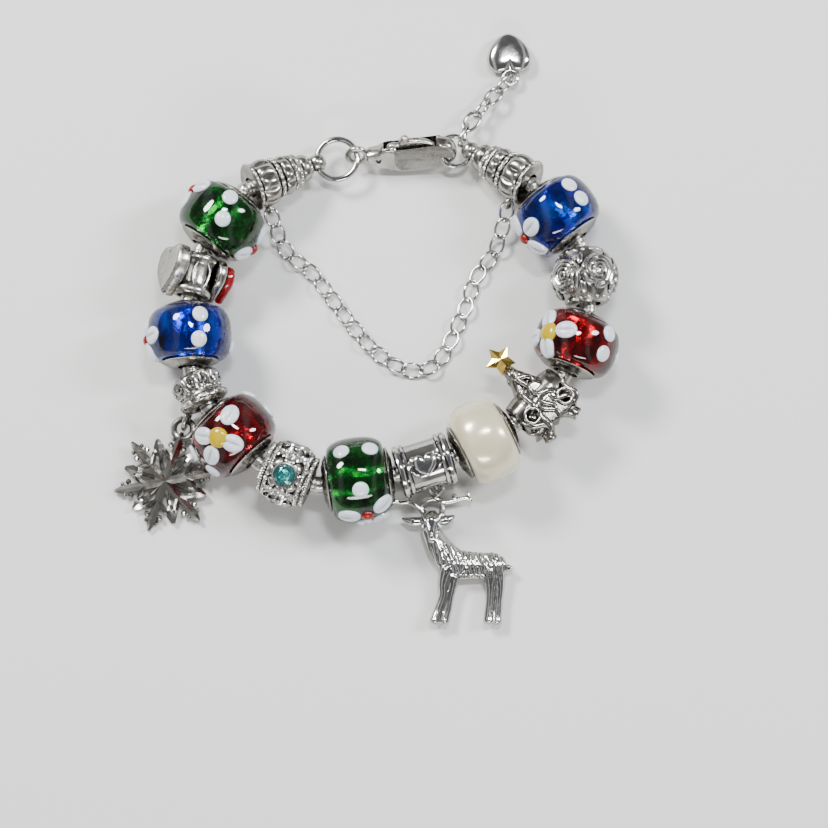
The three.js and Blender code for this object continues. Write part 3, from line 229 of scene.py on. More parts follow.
def sweep(path: np.ndarray, radius: float | Sequence[float], sides: int,
          closed: bool = False) -> Part:
    """Draws a round wire along a path.

    Args:
        path: The points that the wire follows.
        radius: Its radius, or one for each point.
        sides: How many sides it has.
        closed: True if it joins its own start.

    Returns:
        The part.
    """
    ways = ways_along(path, closed)
    side = np.cross(ways[0], (0.0, 0.0, 1.0))
    if np.linalg.norm(side) < 1e-3:
        side = np.cross(ways[0], (0.0, 1.0, 0.0))
    angles = turns_of(sides)
    rings = []
    for point, way, reach in zip(path, ways, np.broadcast_to(radius, len(path))):
        side = unit(side - way * np.dot(side, way))
        round_it = np.outer(np.cos(angles), side) + np.outer(np.sin(angles), np.cross(way, side))
        rings.append(point + reach * round_it)
    return skin(rings, closed=closed)


def circle(radius: float, steps: int) -> np.ndarray:
    """Returns points of a circle about Z."""
    return arc(radius, turns_of(steps))


def torus(radius: float, wire: float, steps: int = 64, sides: int = 20) -> Part:
    """Returns a ring about Z."""
    return sweep(circle(radius, steps), wire, sides, closed=True)


def ball(radii: Point, sides: int = 24, rows: int = 12) -> Part:
    """Returns an egg of three radii about the origin."""
    tilts = math.pi * (np.arange(rows + 1) + 0.02) / (rows + 0.04)
    return moved(lathe(list(zip(-np.cos(tilts), np.sin(tilts))), sides), stretch(*radii))


def dome(size: Point, groove: float, skirt: float, sides: int = 28, rows: int = 9) -> Part:
    """Returns a drop that rises from Z 0, with a groove along X if asked.

    Args:
        size: Its half length along X, half width along Y and height.
        groove: Depth of the groove as a share of the height.
        skirt: How far it reaches below Z 0.
        sides: How many sides it has.
        rows: How many rings rise to its top.

    Returns:
        The part.
    """
    rings = []
    for tilt in 0.5 * math.pi * np.arange(rows + 1) / rows:
        ring = arc(max(math.cos(tilt), 0.02), turns_of(sides))
        x, y, _ = ring.T
        cut = groove * np.exp(-((y / 0.16) ** 2)) * np.maximum(0.0, 1 - np.abs(x) ** 3)
        ring[:, 2] = math.sin(tilt) - cut
        rings.append(ring * size)
    foot = rings[0].copy()
    foot[:, 2] = -skirt
    return skin([foot] + rings)


def crown(outline: np.ndarray, levels: Sequence[Row],
          centre: tuple[float, float] = (0.0, 0.0)) -> Part:
    """Stacks an outline at (share of its size, height) levels about its centre."""
    middle = np.array(centre)
    return skin([np.insert(middle + (outline - middle) * share, 2, height, axis=1)
                 for share, height in levels])


def inset(outline: np.ndarray, depth: float) -> np.ndarray:
    """Returns a closed outline drawn in by a depth along its own normals."""
    way = ways_along(outline, True)
    after = np.roll(outline, -1, axis=0)
    area = np.sum(outline[:, 0] * after[:, 1] - after[:, 0] * outline[:, 1])
    return outline + np.column_stack([-way[:, 1], way[:, 0]]) * (np.sign(area) * depth)


def plate(outline: np.ndarray, thickness: float, bevel: float, steps: int = 4,
          rise: float = 0.0) -> Part:
    """Returns a flat plate about Z 0 whose edges are rounded over the bevel, and the rise in Z."""
    half = thickness / 2
    rise = rise or bevel
    levels = []
    for k in range(steps + 1):
        angle = 0.5 * math.pi * k / steps
        levels.append((bevel * (1 - math.sin(angle)), half - rise * (1 - math.cos(angle))))
    both = [(depth, -height) for depth, height in levels] + levels[::-1]
    rings = [np.insert(inset(outline, depth), 2, height, axis=1) for depth, height in both]
    return skin(rings)


def bezier(start: Row, turns: Sequence[Row], steps: int = 10) -> np.ndarray:
    """Draws a row of plane curves.

    Args:
        start: The first point.
        turns: Rows of two control points and an end, or of an end alone if straight.
        steps: Points on each curve.

    Returns:
        The points, without the last one where it closes on the first.
    """
    points = [np.array(start, float)]
    for row in turns:
        here = points[-1]
        if len(row) == 2:
            points.append(np.array(row, float))
            continue
        a, b, c = np.array(row, float).reshape(3, 2)
        for t in np.arange(1, steps + 1) / steps:
            points.append(here * (1 - t) ** 3 + 3 * a * t * (1 - t) ** 2
                          + 3 * b * t**2 * (1 - t) + c * t**3)
    if np.linalg.norm(points[0] - points[-1]) < 1e-6:
        points.pop()
    return np.array(points)


def runs_of(points: np.ndarray) -> np.ndarray:
    """Returns how far along a path each of its points is."""
    return np.concatenate([[0], np.cumsum(np.linalg.norm(np.diff(points, axis=0), axis=1))])


def evenly(points: np.ndarray, steps: int) -> np.ndarray:
    """Returns points at even spacing on a path."""
    runs = runs_of(points)
    where = np.linspace(0, runs[-1], steps)
    return np.column_stack([np.interp(where, runs, row) for row in points.T])


def smooth_path(points: Sequence[Point], steps: int) -> np.ndarray:
    """Returns points at even spacing on a smooth curve through the given ones."""
    nodes = np.array(points, float)
    padded = np.vstack([2 * nodes[0] - nodes[1], nodes, 2 * nodes[-1] - nodes[-2]])
    fine = []
    for k in range(len(nodes) - 1):
        a, b, c, d = padded[k : k + 4]
        for t in np.linspace(0, 1, 24, endpoint=k == len(nodes) - 2):
            fine.append(0.5 * (2 * b + (c - a) * t + (2 * a - 5 * b + 4 * c - d) * t**2
                               + (3 * b - a - 3 * c + d) * t**3))
    return evenly(np.array(fine), steps)


def both_sides(upper: np.ndarray) -> np.ndarray:
    """Returns a closed outline from its half above the X axis."""
    return np.vstack([upper, upper[-2:0:-1] * (1, -1)])


def heart_outline(width: float, height: float, steps: int = 12) -> np.ndarray:
    """Returns a heart about its middle with its tip towards +X."""
    half, tip = width / 2, height * 0.52
    return both_sides(bezier((tip, 0.0), [
        (tip * 0.55, half * 0.45, tip * 0.3, half, -height * 0.16, half),
        (-height * 0.52, half, -height * 0.56, half * 0.18, -height * 0.3, 0.0),
    ], steps))


def puffed_outline(width: float, height: float) -> np.ndarray:
    """Returns a full heart about its middle, with its blunt tip towards +X."""
    half, tip = width / 2, height * 0.52
    return both_sides(bezier((tip, 0.0), [
        (tip, half * 0.3, tip * 0.5, half * 0.98, -height * 0.14, half),
        (-height * 0.52, half, -height * 0.56, half * 0.2, -height * 0.34, 0.0),
    ], 16))


def link_path(half_length: float, width: float, wire: float, steps: int = 28) -> np.ndarray:
    """Returns the middle of a chain link's wire, which lies in XY with its length along X."""
    return circle(1.0, steps) * (half_length, width / 2 - wire, 1.0)


def build_mesh(name: str, form: Form, scale: float) -> bpy.types.Mesh:
    """Returns a mesh with the form's vertices, faces and finish numbers."""
    mesh = bpy.data.meshes.new(name)
    points = np.concatenate(form.points) * scale
    mesh.from_pydata(points.tolist(), [], form.faces)
    mesh.polygons.foreach_set("material_index", np.array(form.finishes, dtype=np.int32))
    mesh.update()
    return mesh


def worked(part: Part, change: Callable[[Piece], None]) -> Part:
    """Returns the part after modifiers that work on it for a moment in millimetres.

    Args:
        part: The part to work on.
        change: Adds the modifiers to the object that it is given.

    Returns:
        The changed part.
    """
    mesh = build_mesh("work", Form().add(part), 1.0)
    piece = bpy.data.objects.new("work", mesh)
    bpy.context.scene.collection.objects.link(piece)
    change(piece)
    graph = bpy.context.evaluated_depsgraph_get()
    done = piece.evaluated_get(graph).to_mesh()
    points = np.empty(len(done.vertices) * 3)
    done.vertices.foreach_get("co", points)
    faces = [tuple(face.vertices) for face in done.polygons]
    bpy.data.objects.remove(piece)
    bpy.data.meshes.remove(mesh)
    return Part(points.reshape(-1, 3), faces)


def gathered(parts: Iterable[Part]) -> Part:
    """Returns the parts as one."""
    form = Form().add(parts)
    return Part(np.concatenate(form.points), form.faces)


def melted(parts: Iterable[Part], grain: float, smoothing: int = 3) -> Part:
    """Casts overlapping parts as one skin with soft edges.

    Args:
        parts: The parts.
        grain: Size of the skin's faces in millimetres.
        smoothing: How often the skin is smoothed.

    Returns:
        The one skin.
    """

    def change(piece: Piece) -> None:
        """Adds the remeshing and the smoothing."""
        remesh = piece.modifiers.new("cast", "REMESH")
        remesh.mode = "VOXEL"
        remesh.voxel_size = grain
        soft = piece.modifiers.new("soft", "SMOOTH")
        soft.factor = 0.5
        soft.iterations = smoothing

    return worked(gathered(parts), change)


def carved(part: Part, cutters: Sequence[Part]) -> Part:
    """Returns the part with the cutters taken out of it."""
    tools = []

    def change(piece: Piece) -> None:
        """Adds a cut for each cutter."""
        for k, cutter in enumerate(cutters):
            tool = bpy.data.objects.new(f"cut{k}", build_mesh("cut", Form().add(cutter), 1.0))
            bpy.context.scene.collection.objects.link(tool)
            tools.append(tool)
            cut = piece.modifiers.new(f"cut{k}", "BOOLEAN")
            cut.operation = "DIFFERENCE"
            cut.solver = "EXACT"
            cut.object = tool

    result = worked(part, change)
    for tool in tools:
        mesh = tool.data
        bpy.data.objects.remove(tool)
        bpy.data.meshes.remove(mesh)
    return result


def normals_of(part: Part) -> np.ndarray:
    """Returns a unit normal for each vertex of a skin of faces with four corners or fewer."""
    normals = np.zeros_like(part.points)
    for size in (3, 4):
        faces = np.array([face for face in part.faces if len(face) == size])
        if len(faces):
            corners = part.points[faces]
            across = np.cross(corners[:, 2] - corners[:, 0], corners[:, -1] - corners[:, 1])
            for k in range(size):
                np.add.at(normals, faces[:, k], across)
    return unit(normals)


# Places in the frame


def frame_at(origin: Vector, way: Vector) -> Matrix:
    """Returns a frame with X along the way, Y towards the inside of the loop and Z up."""
    inside = Vector((0, 0, 1)).cross(way).normalized()
    top = way.cross(inside)
    return Matrix.Translation(origin) @ Matrix((way, inside, top)).transposed().to_4x4()


@dataclass(frozen=True)
class Span:
    """The stretch of the loop that a bead takes."""

    start: Vector
    way: Vector
    length: float

    @property
    def end(self) -> Vector:
        """Where the bead ends."""
        return self.start + self.way * self.length

    @property
    def middle(self) -> Matrix:
        """The frame at the bead's middle."""
        return frame_at(self.start + self.way * (self.length / 2), self.way)


@dataclass
class Loop:
    """Places of the beads and caps, worked out from the chain that they are threaded on."""

    chain: str = "core_chain"
    ring_gap: float = 3.0
    core_end: float = 2.9
    cap_end: float = 2.7
    end_gap: float = 0.12
    cap_length: float = 11.8
    lengths: dict[str, float] = field(default_factory=lambda: {
        "green_bead_one": 10.2, "heart_bead": 6.7, "blue_bead_one": 10.0, "ornate_bead": 5.2,
        "red_bead_one": 10.1, "crystal_rose_bead": 7.8, "green_bead_two": 10.8, "tube_bead": 8.5,
        "pearl_bead": 9.6, "tree_bead": 9.3, "red_bead_two": 9.6, "rose_ball_bead": 8.6,
        "blue_bead_two": 10.0,
    })
    route: list[Vector] = field(init=False)
    spans: dict[str, Span] = field(init=False)

    def __post_init__(self) -> None:
        """Reads the chain's bends and places the beads and both caps between them."""
        self.route = self.read_route()
        joints = self.route[1:-1]
        ways = [(after - before).normalized() for before, after in zip(joints, joints[1:])]
        left = (joints[0] - self.route[0]).normalized()
        right = (self.route[-1] - joints[-1]).normalized()
        before = [left] + ways[:-1]
        self.spans = {}
        for (name, length), joint, way, last in zip(self.lengths.items(), joints, ways, before):
            room = self.clearance(self.core_end, way.angle(last))
            self.spans[name] = Span(joint + way * room, way, length)
        room = self.clearance(self.cap_end, ways[0].angle(left))
        start = joints[0] - left * (room + self.cap_length)
        self.spans["end_cap_left"] = Span(start, left, self.cap_length)
        room = self.clearance(self.cap_end, right.angle(ways[-1]))
        self.spans["end_cap_right"] = Span(joints[-1] + right * room, right, self.cap_length)

    def clearance(self, face: float, bend: float) -> float:
        """Returns how far an end of that radius stays from the joint that it bends at."""
        return face * math.tan(bend / 2) + self.end_gap

    def read_route(self) -> list[Vector]:
        """Returns the middles of the chain's rings, from the left cap round to the right one."""
        corners = node_points(self.chain)
        rings: list[list[np.ndarray]] = []
        for corner in corners:
            near = [ring for ring in rings if np.linalg.norm(ring[0] - corner) < self.ring_gap]
            if near:
                near[0].append(corner)
            else:
                rings.append([corner])
        middles = [Vector(np.mean(ring, axis=0)) for ring in rings]
        return sorted(middles, key=lambda p: (math.degrees(math.atan2(p.y, p.x)) - 90) % 360)


def node_points(node: str) -> np.ndarray:
    """Returns the unique corners of a CAD node in millimetres."""
    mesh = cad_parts[node].data
    points = np.empty(len(mesh.vertices) * 3)
    mesh.vertices.foreach_get("co", points)
    return np.unique(np.round(points.reshape(-1, 3) / MM, 4), axis=0)


@dataclass(frozen=True)
class RingPlace:
    """Where a round ring lies: its middle and the axis that it goes round."""

    middle: Vector
    axis: Vector

    @classmethod
    def read(cls, node: str) -> "RingPlace":
        """Reads the place of a CAD ring from its corners."""
        points = node_points(node)
        low, high = (Vector(corner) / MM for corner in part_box(node))
        spread = np.linalg.svd(points - points.mean(axis=0), full_matrices=False)[2][2]
        axis = Vector(spread)
        return cls((low + high) / 2, axis if axis.z >= 0 else -axis)

    @property
    def frame(self) -> Matrix:
        """A frame with Z along the ring's axis."""
        turn = self.axis.to_track_quat("Z", "Y").to_matrix().to_4x4()
        return Matrix.Translation(self.middle) @ turn


# Shared shader effects


class Net:
    """A node tree with short ways to add and join its nodes."""

    def __init__(self, tree: bpy.types.NodeTree) -> None:
        """Takes the tree."""
        self.tree = tree

    def put(self, kind: str, **settings: object) -> bpy.types.Node:
        """Adds a node of a kind and sets what is named."""
        node = self.tree.nodes.new(kind)
        for name, value in settings.items():
            setattr(node, name, value)
        return node

    def join(self, source: object, target: Socket) -> None:
        """Links an output to an input, or gives the input a plain value."""
        if isinstance(source, Socket):
            self.tree.links.new(source, target)
        else:
            target.default_value = source

    def fill(self, node: bpy.types.Node, values: dict[str, object]) -> None:
        """Links or sets a node's inputs by their names."""
        for name, value in values.items():
            self.join(value, node.inputs[name])

    def mixed(self, share: Socket, low: Socket | Row, high: Socket | Row) -> Socket:
        """Returns a colour between two others by a share of the second."""
        node = self.put("ShaderNodeMix", data_type="RGBA")
        for number, value in ((0, share), (6, low), (7, high)):
            self.join(value, node.inputs[number])
        return node.outputs[2]

    def ranged(self, value: Socket, start: float, end: float, low: float = 0.0,
               high: Socket | float = 1.0) -> Socket:
        """Returns the value mapped from start..end to low..high."""
        node = self.put("ShaderNodeMapRange", clamp=True)
        self.fill(node, {"Value": value, "From Min": start, "From Max": end, "To Min": low,
                         "To Max": high})
        return node.outputs["Result"]

    def noise(self, scale: Socket | float, detail: float, warp: float = 0.0) -> Socket:
        """Returns noise over the object's own space."""
        place = self.put("ShaderNodeTexCoord")
        node = self.put("ShaderNodeTexNoise")
        self.fill(node, {"Vector": place.outputs["Object"], "Scale": scale, "Detail": detail,
                         "Distortion": warp})
        return node.outputs["Fac"]


class Effect(Enum):
    """The shader effects that finishes share."""

    RECESS = "recess_mask"
    MARKS = "fine_marks"
    AGEING = "aged_colour"
    SWIRL = "glass_swirl"
    LUSTRE = "pearl_lustre"


SOCKETS = {float: "NodeSocketFloat", tuple: "NodeSocketColor", Vector: "NodeSocketVector"}


def effect_net(effect: Effect, inputs: dict[str, object], outputs: dict[str, type]) -> tuple:
    """Starts the node group of an effect.

    Args:
        effect: Which effect it is.
        inputs: Its inputs with their values.
        outputs: Its outputs with their types.

    Returns:
        The net, its input node and its output node.
    """
    tree = bpy.data.node_groups.new(effect.value, "ShaderNodeTree")
    for name, value in inputs.items():
        kind = SOCKETS[type(value)]
        socket = tree.interface.new_socket(name=name, in_out="INPUT", socket_type=kind)
        socket.default_value = value
    for name, kind in outputs.items():
        tree.interface.new_socket(name=name, in_out="OUTPUT", socket_type=SOCKETS[kind])
    net = Net(tree)
    return net, net.put("NodeGroupInput"), net.put("NodeGroupOutput")


def recess_mask() -> None:
    """Makes the ambient-occlusion mask, 1 deep in recesses and where parts meet and 0 on open
    faces, that places painted shade.
    """
    net, given, out = effect_net(Effect.RECESS, {"Reach": 0.001, "Strength": 1.0}, {"Mask": float})
    shade = net.put("ShaderNodeAmbientOcclusion", samples=8, only_local=True)
    net.join(given.outputs["Reach"], shade.inputs["Distance"])
    mask = net.ranged(shade.outputs["AO"], 0.92, 0.3, 0.0, given.outputs["Strength"])
    net.join(mask, out.inputs["Mask"])


def fine_marks() -> None:
    """Makes the fine unevenness of a surface: its roughness and its normal."""
    inputs = {"Scale": 900.0, "Depth": 0.1, "Low": 0.1, "High": 0.3}
    net, given, out = effect_net(Effect.MARKS, inputs, {"Roughness": float, "Normal": Vector})
    cloud = net.noise(given.outputs["Scale"], detail=4.0, warp=0.4)
    rough = net.ranged(cloud, 0.3, 0.7, given.outputs["Low"], given.outputs["High"])
    net.join(rough, out.inputs["Roughness"])
    bump = net.put("ShaderNodeBump")
    net.fill(bump, {"Distance": 0.0002, "Strength": given.outputs["Depth"], "Height": cloud})
    net.join(bump.outputs["Normal"], out.inputs["Normal"])


def aged_colour() -> None:
    """Makes a colour from the recess mask: painted shade in recesses, also standing for patina on
    metal, and a painted highlight on sharp edges, also standing for rubbed edges.
    """
    inputs = {"Bright": (0.8, 0.8, 0.8, 1.0), "Dark": (0.1, 0.1, 0.1, 1.0), "Mask": 0.0,
              "Cloud": 0.2, "Wear": 0.3}
    net, given, out = effect_net(Effect.AGEING, inputs, {"Colour": tuple})
    spots = net.noise(420.0, detail=5.0, warp=0.8)
    cloud = net.ranged(spots, 0.42, 0.68, 0.0, given.outputs["Cloud"])
    # The recess mask paints shade in the dark colour, which on metal also stands for patina; the
    # noise spots are random tarnish.
    both = net.put("ShaderNodeMath", operation="MAXIMUM")
    net.join(given.outputs["Mask"], both.inputs[0])
    net.join(cloud, both.inputs[1])
    body = net.mixed(both.outputs[0], given.outputs["Bright"], given.outputs["Dark"])
    # Pointiness lifts sharp edges towards near-white: a painted highlight, also standing for
    # rubbed edges.
    edge = net.put("ShaderNodeNewGeometry")
    lit_and_rubbed_edges = net.ranged(edge.outputs["Pointiness"], 0.52, 0.6, 0.0, given.outputs["Wear"])
    net.join(net.mixed(lit_and_rubbed_edges, body, (0.95, 0.94, 0.92, 1.0)), out.inputs["Colour"])


def glass_swirl() -> None:
    """Makes the streaks of a lighter colour in drawn glass."""
    inputs = {"Deep": (0.0, 0.2, 0.1, 1.0), "Light": (0.1, 0.6, 0.3, 1.0), "Scale": 160.0}
    net, given, out = effect_net(Effect.SWIRL, inputs, {"Colour": tuple})
    streak = net.ranged(net.noise(given.outputs["Scale"], detail=2.0, warp=1.6), 0.45, 0.75)
    colour = net.mixed(streak, given.outputs["Deep"], given.outputs["Light"])
    net.join(colour, out.inputs["Colour"])


def pearl_lustre() -> None:
    """Makes the faint rose and green clouds on a pearl."""
    inputs = {"Cream": (0.9, 0.88, 0.8, 1.0), "Rose": (0.92, 0.82, 0.78, 1.0),
              "Green": (0.8, 0.86, 0.78, 1.0)}
    net, given, out = effect_net(Effect.LUSTRE, inputs, {"Colour": tuple})
    rose = net.ranged(net.noise(140.0, detail=1.0), 0.45, 0.8)
    green = net.ranged(net.noise(95.0, detail=1.0, warp=0.6), 0.5, 0.85)
    warm = net.mixed(rose, given.outputs["Cream"], given.outputs["Rose"])
    net.join(net.mixed(green, warm, given.outputs["Green"]), out.inputs["Colour"])


# Finishes


def new_material(name: str) -> tuple[bpy.types.Material, Net, bpy.types.Node]:
    """Returns a new material, its net and its shader."""
    material = bpy.data.materials.new(name)
    material.use_nodes = True
    net = Net(material.node_tree)
    return material, net, material.node_tree.nodes["Principled BSDF"]


def use_effect(net: Net, effect: Effect, **values: object) -> bpy.types.Node:
    """Adds an effect's group to a material and sets or links its inputs."""
    node = net.put("ShaderNodeGroup", node_tree=bpy.data.node_groups[effect.value])
    net.fill(node, values)
    return node


@dataclass(frozen=True)
class Metal:
    """A plated metal: bright, with a darker tone painted into its recesses as shade and patina,
    and a painted highlight on its sharp edges.
    """

    name: str
    bright: Row
    dark: Row
    rough: tuple[float, float]
    recess: float = 0.9
    darkness: float = 0.9
    grain: float = 900.0
    depth: float = 0.05
    cloud: float = 0.1
    edge_highlight_and_rub: float = 0.3
    grazing: float = 0.5

    def material(self) -> bpy.types.Material:
        """Returns the metal's material."""
        material, net, shader = new_material(self.name)
        # Painted shade, also standing for patina, darkens the recesses in the dark colour; a
        # painted highlight lifts the sharp edges.
        mask = use_effect(net, Effect.RECESS, Reach=self.recess * MM, Strength=self.darkness)
        colour = use_effect(net, Effect.AGEING, Bright=(*self.bright, 1.0),
                            Dark=(*self.dark, 1.0), Mask=mask.outputs["Mask"],
                            Cloud=self.cloud, Wear=self.edge_highlight_and_rub)
        low, high = self.rough
        marks = use_effect(net, Effect.MARKS, Scale=self.grain, Depth=self.depth, Low=low,
                           High=high)
        net.fill(shader, {
            "Base Color": colour.outputs["Colour"], "Roughness": marks.outputs["Roughness"],
            "Normal": marks.outputs["Normal"], "Metallic": 1.0,
            "Specular Tint": (*(self.grazing,) * 3, 1.0),
        })
        return material


@dataclass(frozen=True)
class Glass:
    """Clear coloured glass or crystal."""

    name: str
    deep: Row
    light: Row
    swirl: float = 160.0
    roughness: float = 0.01
    bend: float = 1.5

    def material(self) -> bpy.types.Material:
        """Returns the glass material."""
        material, net, shader = new_material(self.name)
        colour = use_effect(net, Effect.SWIRL, Deep=(*self.deep, 1.0),
                            Light=(*self.light, 1.0), Scale=self.swirl)
        net.join(colour.outputs["Colour"], shader.inputs["Base Color"])
        shader.inputs["Roughness"].default_value = self.roughness
        shader.inputs["IOR"].default_value = self.bend
        shader.inputs["Metallic"].default_value = 0.0
        shader.inputs["Transmission Weight"].default_value = 1.0
        return material


@dataclass(frozen=True)
class Gloss:
    """Opaque glass or enamel under a clear gloss, with painted shade darkening its grooves and
    where it meets other parts.
    """

    name: str
    colour: Row
    groove: Row
    recess: float = 0.6
    darkness: float = 0.7
    roughness: float = 0.12
    coat: float = 0.6
    scatter: float = 0.1

    def material(self) -> bpy.types.Material:
        """Returns the opaque material."""
        material, net, shader = new_material(self.name)
        # The groove colour is painted shade, laid into the grooves and joins by the recess mask.
        mask = use_effect(net, Effect.RECESS, Reach=self.recess * MM, Strength=self.darkness)
        colour = use_effect(net, Effect.AGEING, Bright=(*self.colour, 1.0),
                            Dark=(*self.groove, 1.0), Mask=mask.outputs["Mask"], Cloud=0.06,
                            Wear=0.0)
        net.fill(shader, {
            "Base Color": colour.outputs["Colour"], "Roughness": self.roughness,
            "Coat Weight": self.coat, "Coat Roughness": 0.02,
            "Subsurface Weight": self.scatter, "Subsurface Scale": 0.6 * MM,
        })
        return material


@dataclass(frozen=True)
class Pearl:
    """A glass pearl's creamy lustre."""

    name: str
    cream: Row = (0.62, 0.56, 0.38)
    rose: Row = (0.7, 0.56, 0.42)
    green: Row = (0.5, 0.56, 0.38)

    def material(self) -> bpy.types.Material:
        """Returns the pearl material."""
        material, net, shader = new_material(self.name)
        colour = use_effect(net, Effect.LUSTRE, Cream=(*self.cream, 1.0),
                            Rose=(*self.rose, 1.0), Green=(*self.green, 1.0))
        marks = use_effect(net, Effect.MARKS, Scale=260.0, Depth=0.02, Low=0.2, High=0.28)
        net.fill(shader, {
            "Base Color": colour.outputs["Colour"], "Roughness": marks.outputs["Roughness"],
            "Metallic": 0.25, "Coat Weight": 0.7, "Coat Roughness": 0.06, "Sheen Weight": 0.15,
        })
        return material


class Finish(Enum):
    """Every finish on the bracelet."""

    # Each metal's second colour is painted shade in its recesses, also standing for patina; each
    # opaque glass's second colour is painted shade in its grooves.
    SILVER = Metal("silver_finish", (0.58, 0.57, 0.55), (0.07, 0.062, 0.052), (0.08, 0.16))
    AGED = Metal(
        "aged_silver_finish", (0.44, 0.425, 0.395), (0.025, 0.022, 0.018), (0.14, 0.3),
        recess=1.1, darkness=0.97, grain=700.0, depth=0.12, cloud=0.3, edge_highlight_and_rub=0.5,
    )
    GUNMETAL = Metal(
        "gunmetal_finish", (0.28, 0.264, 0.24), (0.02, 0.017, 0.014), (0.12, 0.24),
        recess=0.9, darkness=0.97, grain=700.0, depth=0.08, cloud=0.3, edge_highlight_and_rub=0.3,
    )
    SATIN = Metal(
        "satin_silver_finish", (0.5, 0.485, 0.45), (0.09, 0.08, 0.065), (0.2, 0.36),
        grain=1500.0, depth=0.25, cloud=0.12,
    )
    GOLD = Metal("gold_finish", (0.9, 0.62, 0.14), (0.34, 0.18, 0.02), (0.1, 0.2), recess=0.5,
                 edge_highlight_and_rub=0.0)
    FOIL = Metal(
        "foil_lining", (0.6, 0.6, 0.6), (0.16, 0.16, 0.16), (0.18, 0.34),
        grain=420.0, depth=0.9, darkness=0.2, edge_highlight_and_rub=0.0,
    )
    GREEN = Glass("green_glass_finish", (0.0005, 0.07, 0.005), (0.003, 0.2, 0.02))
    BLUE = Glass("blue_glass_finish", (0.0005, 0.006, 0.36), (0.001, 0.1, 0.6))
    RUBY = Glass("red_glass_finish", (0.17, 0.0003, 0.002), (0.34, 0.001, 0.007))
    TEAL = Glass("teal_crystal_finish", (0.1, 0.78, 0.76), (0.35, 0.92, 0.9), bend=1.62)
    WHITE = Gloss("white_glass_finish", (0.6, 0.64, 0.71), (0.08, 0.09, 0.12), darkness=1.0)
    YELLOW = Gloss("yellow_glass_finish", (0.42, 0.3, 0.0), (0.2, 0.12, 0.0), coat=0.2,
                   scatter=0.0)
    RED = Gloss("red_drop_finish", (0.2, 0.0015, 0.0005), (0.07, 0.001, 0.0005), coat=0.2,
                scatter=0.0)
    ENAMEL = Gloss("red_enamel_finish", (0.2, 0.002, 0.005), (0.07, 0.001, 0.002), coat=1.0,
                   scatter=0.0)
    PEARL = Pearl("pearl_finish")


def shader_of(finish: Finish) -> bpy.types.Material:
    """Returns a finish's material, made the first time that it is asked for."""
    made = bpy.data.materials.get(finish.value.name)
    return made or finish.value.material()


def put_out(name: str, form: Form, finishes: Sequence[Finish], nodes: Sequence[str],
            body: str = ROOT, sharp: float = 38.0) -> Piece:
    """Puts a piece out in metres, in place of its CAD nodes.

    Args:
        name: The piece's name.
        form: Its shape in millimetres.
        finishes: Its finishes, in the order of the form's finish numbers.
        nodes: The CAD nodes that it stands for.
        body: The CAD body that it rides on.
        sharp: Edges above this angle in degrees stay sharp.

    Returns:
        The object.
    """
    mesh = build_mesh(name, form, MM)
    mesh.shade_smooth()
    mesh.set_sharp_from_angle(angle=math.radians(sharp))
    for finish in finishes:
        mesh.materials.append(shader_of(finish))
    piece = bpy.data.objects.new(name, mesh)
    bpy.context.scene.collection.objects.link(piece)
    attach(piece, body)
    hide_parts(*nodes)
    log.info("%s: %d faces for %s", name, len(mesh.polygons), ", ".join(nodes))
    return piece


# Threaded pieces


@dataclass
class SnakeChain:
    """The chain of close scales that every bead is threaded on."""

    radius: float = 1.3
    scale: float = 0.62
    notch: float = 0.1
    sides: int = 20
    rings: int = 4

    def build(self, loop: Loop) -> Piece:
        """Builds the chain along the loop's route.

        Args:
            loop: The places of the beads.

        Returns:
            The piece.
        """
        points = np.array([tuple(point) for point in loop.route])
        length = runs_of(points)[-1]
        count = int(length / self.scale * self.rings)
        soft = evenly(points, count)
        for _ in range(6):
            soft[1:-1] = (soft[:-2] + 2 * soft[1:-1] + soft[2:]) / 4
        wave = np.abs(np.sin(math.pi * np.linspace(0, length, count) / self.scale))
        radii = self.radius - self.notch * (1 - wave)
        form = Form().add(sweep(soft, radii, self.sides))
        return put_out("snake_chain", form, [Finish.SATIN], ["core_chain"])


@dataclass
class Core:
    """A silver core: a lining tube with a flared cap that closes each end of a bead."""

    bore: float = 1.95
    tube: float = 2.5
    rim: float = 4.4
    face: float = 2.9
    cap: float = 0.75
    lap: float = 0.24
    bead_sides: int = 64

    def profile(self, length: float) -> list[Row]:
        """Returns the outer profile of a core of that length."""
        end = length / 2
        foot = end - self.cap
        half = [
            (end, self.bore + 0.25), (end, self.face - 0.28), (end - 0.07, self.face - 0.08),
            (end - 0.2, self.face + 0.12), (end - self.cap * 0.45, self.rim - 0.75),
            (end - self.cap * 0.78, self.rim - 0.26), (end - self.cap * 0.92, self.rim - 0.05),
            (foot, self.rim), (foot - 0.1, self.rim - 0.04),
            (foot - self.lap, self.rim - 0.3), (foot - self.lap, self.tube),
        ]
        return [(-x, radius) for x, radius in half] + half[::-1]

    def part(self, length: float) -> Part:
        """Returns the core about its middle."""
        return bored(self.profile(length), self.bore, self.bead_sides)


class Kind(Enum):
    """Kinds of raised glass drop, with their half length, half width and height."""

    PETAL = (1.72, 1.36, 0.58)
    DOT = (1.27, 1.22, 0.52)
    YELLOW = (1.6, 1.55, 0.74)
    RED = (0.96, 0.94, 0.74)


@dataclass(frozen=True)
class Drop:
    """A raised drop: along is a share of half the glass, around an angle from the top."""

    kind: Kind
    along: float
    around: float


def drops(*rows: tuple[Kind, float, float]) -> tuple[Drop, ...]:
    """Returns drops from rows of kind, along and around."""
    return tuple(Drop(*row) for row in rows)


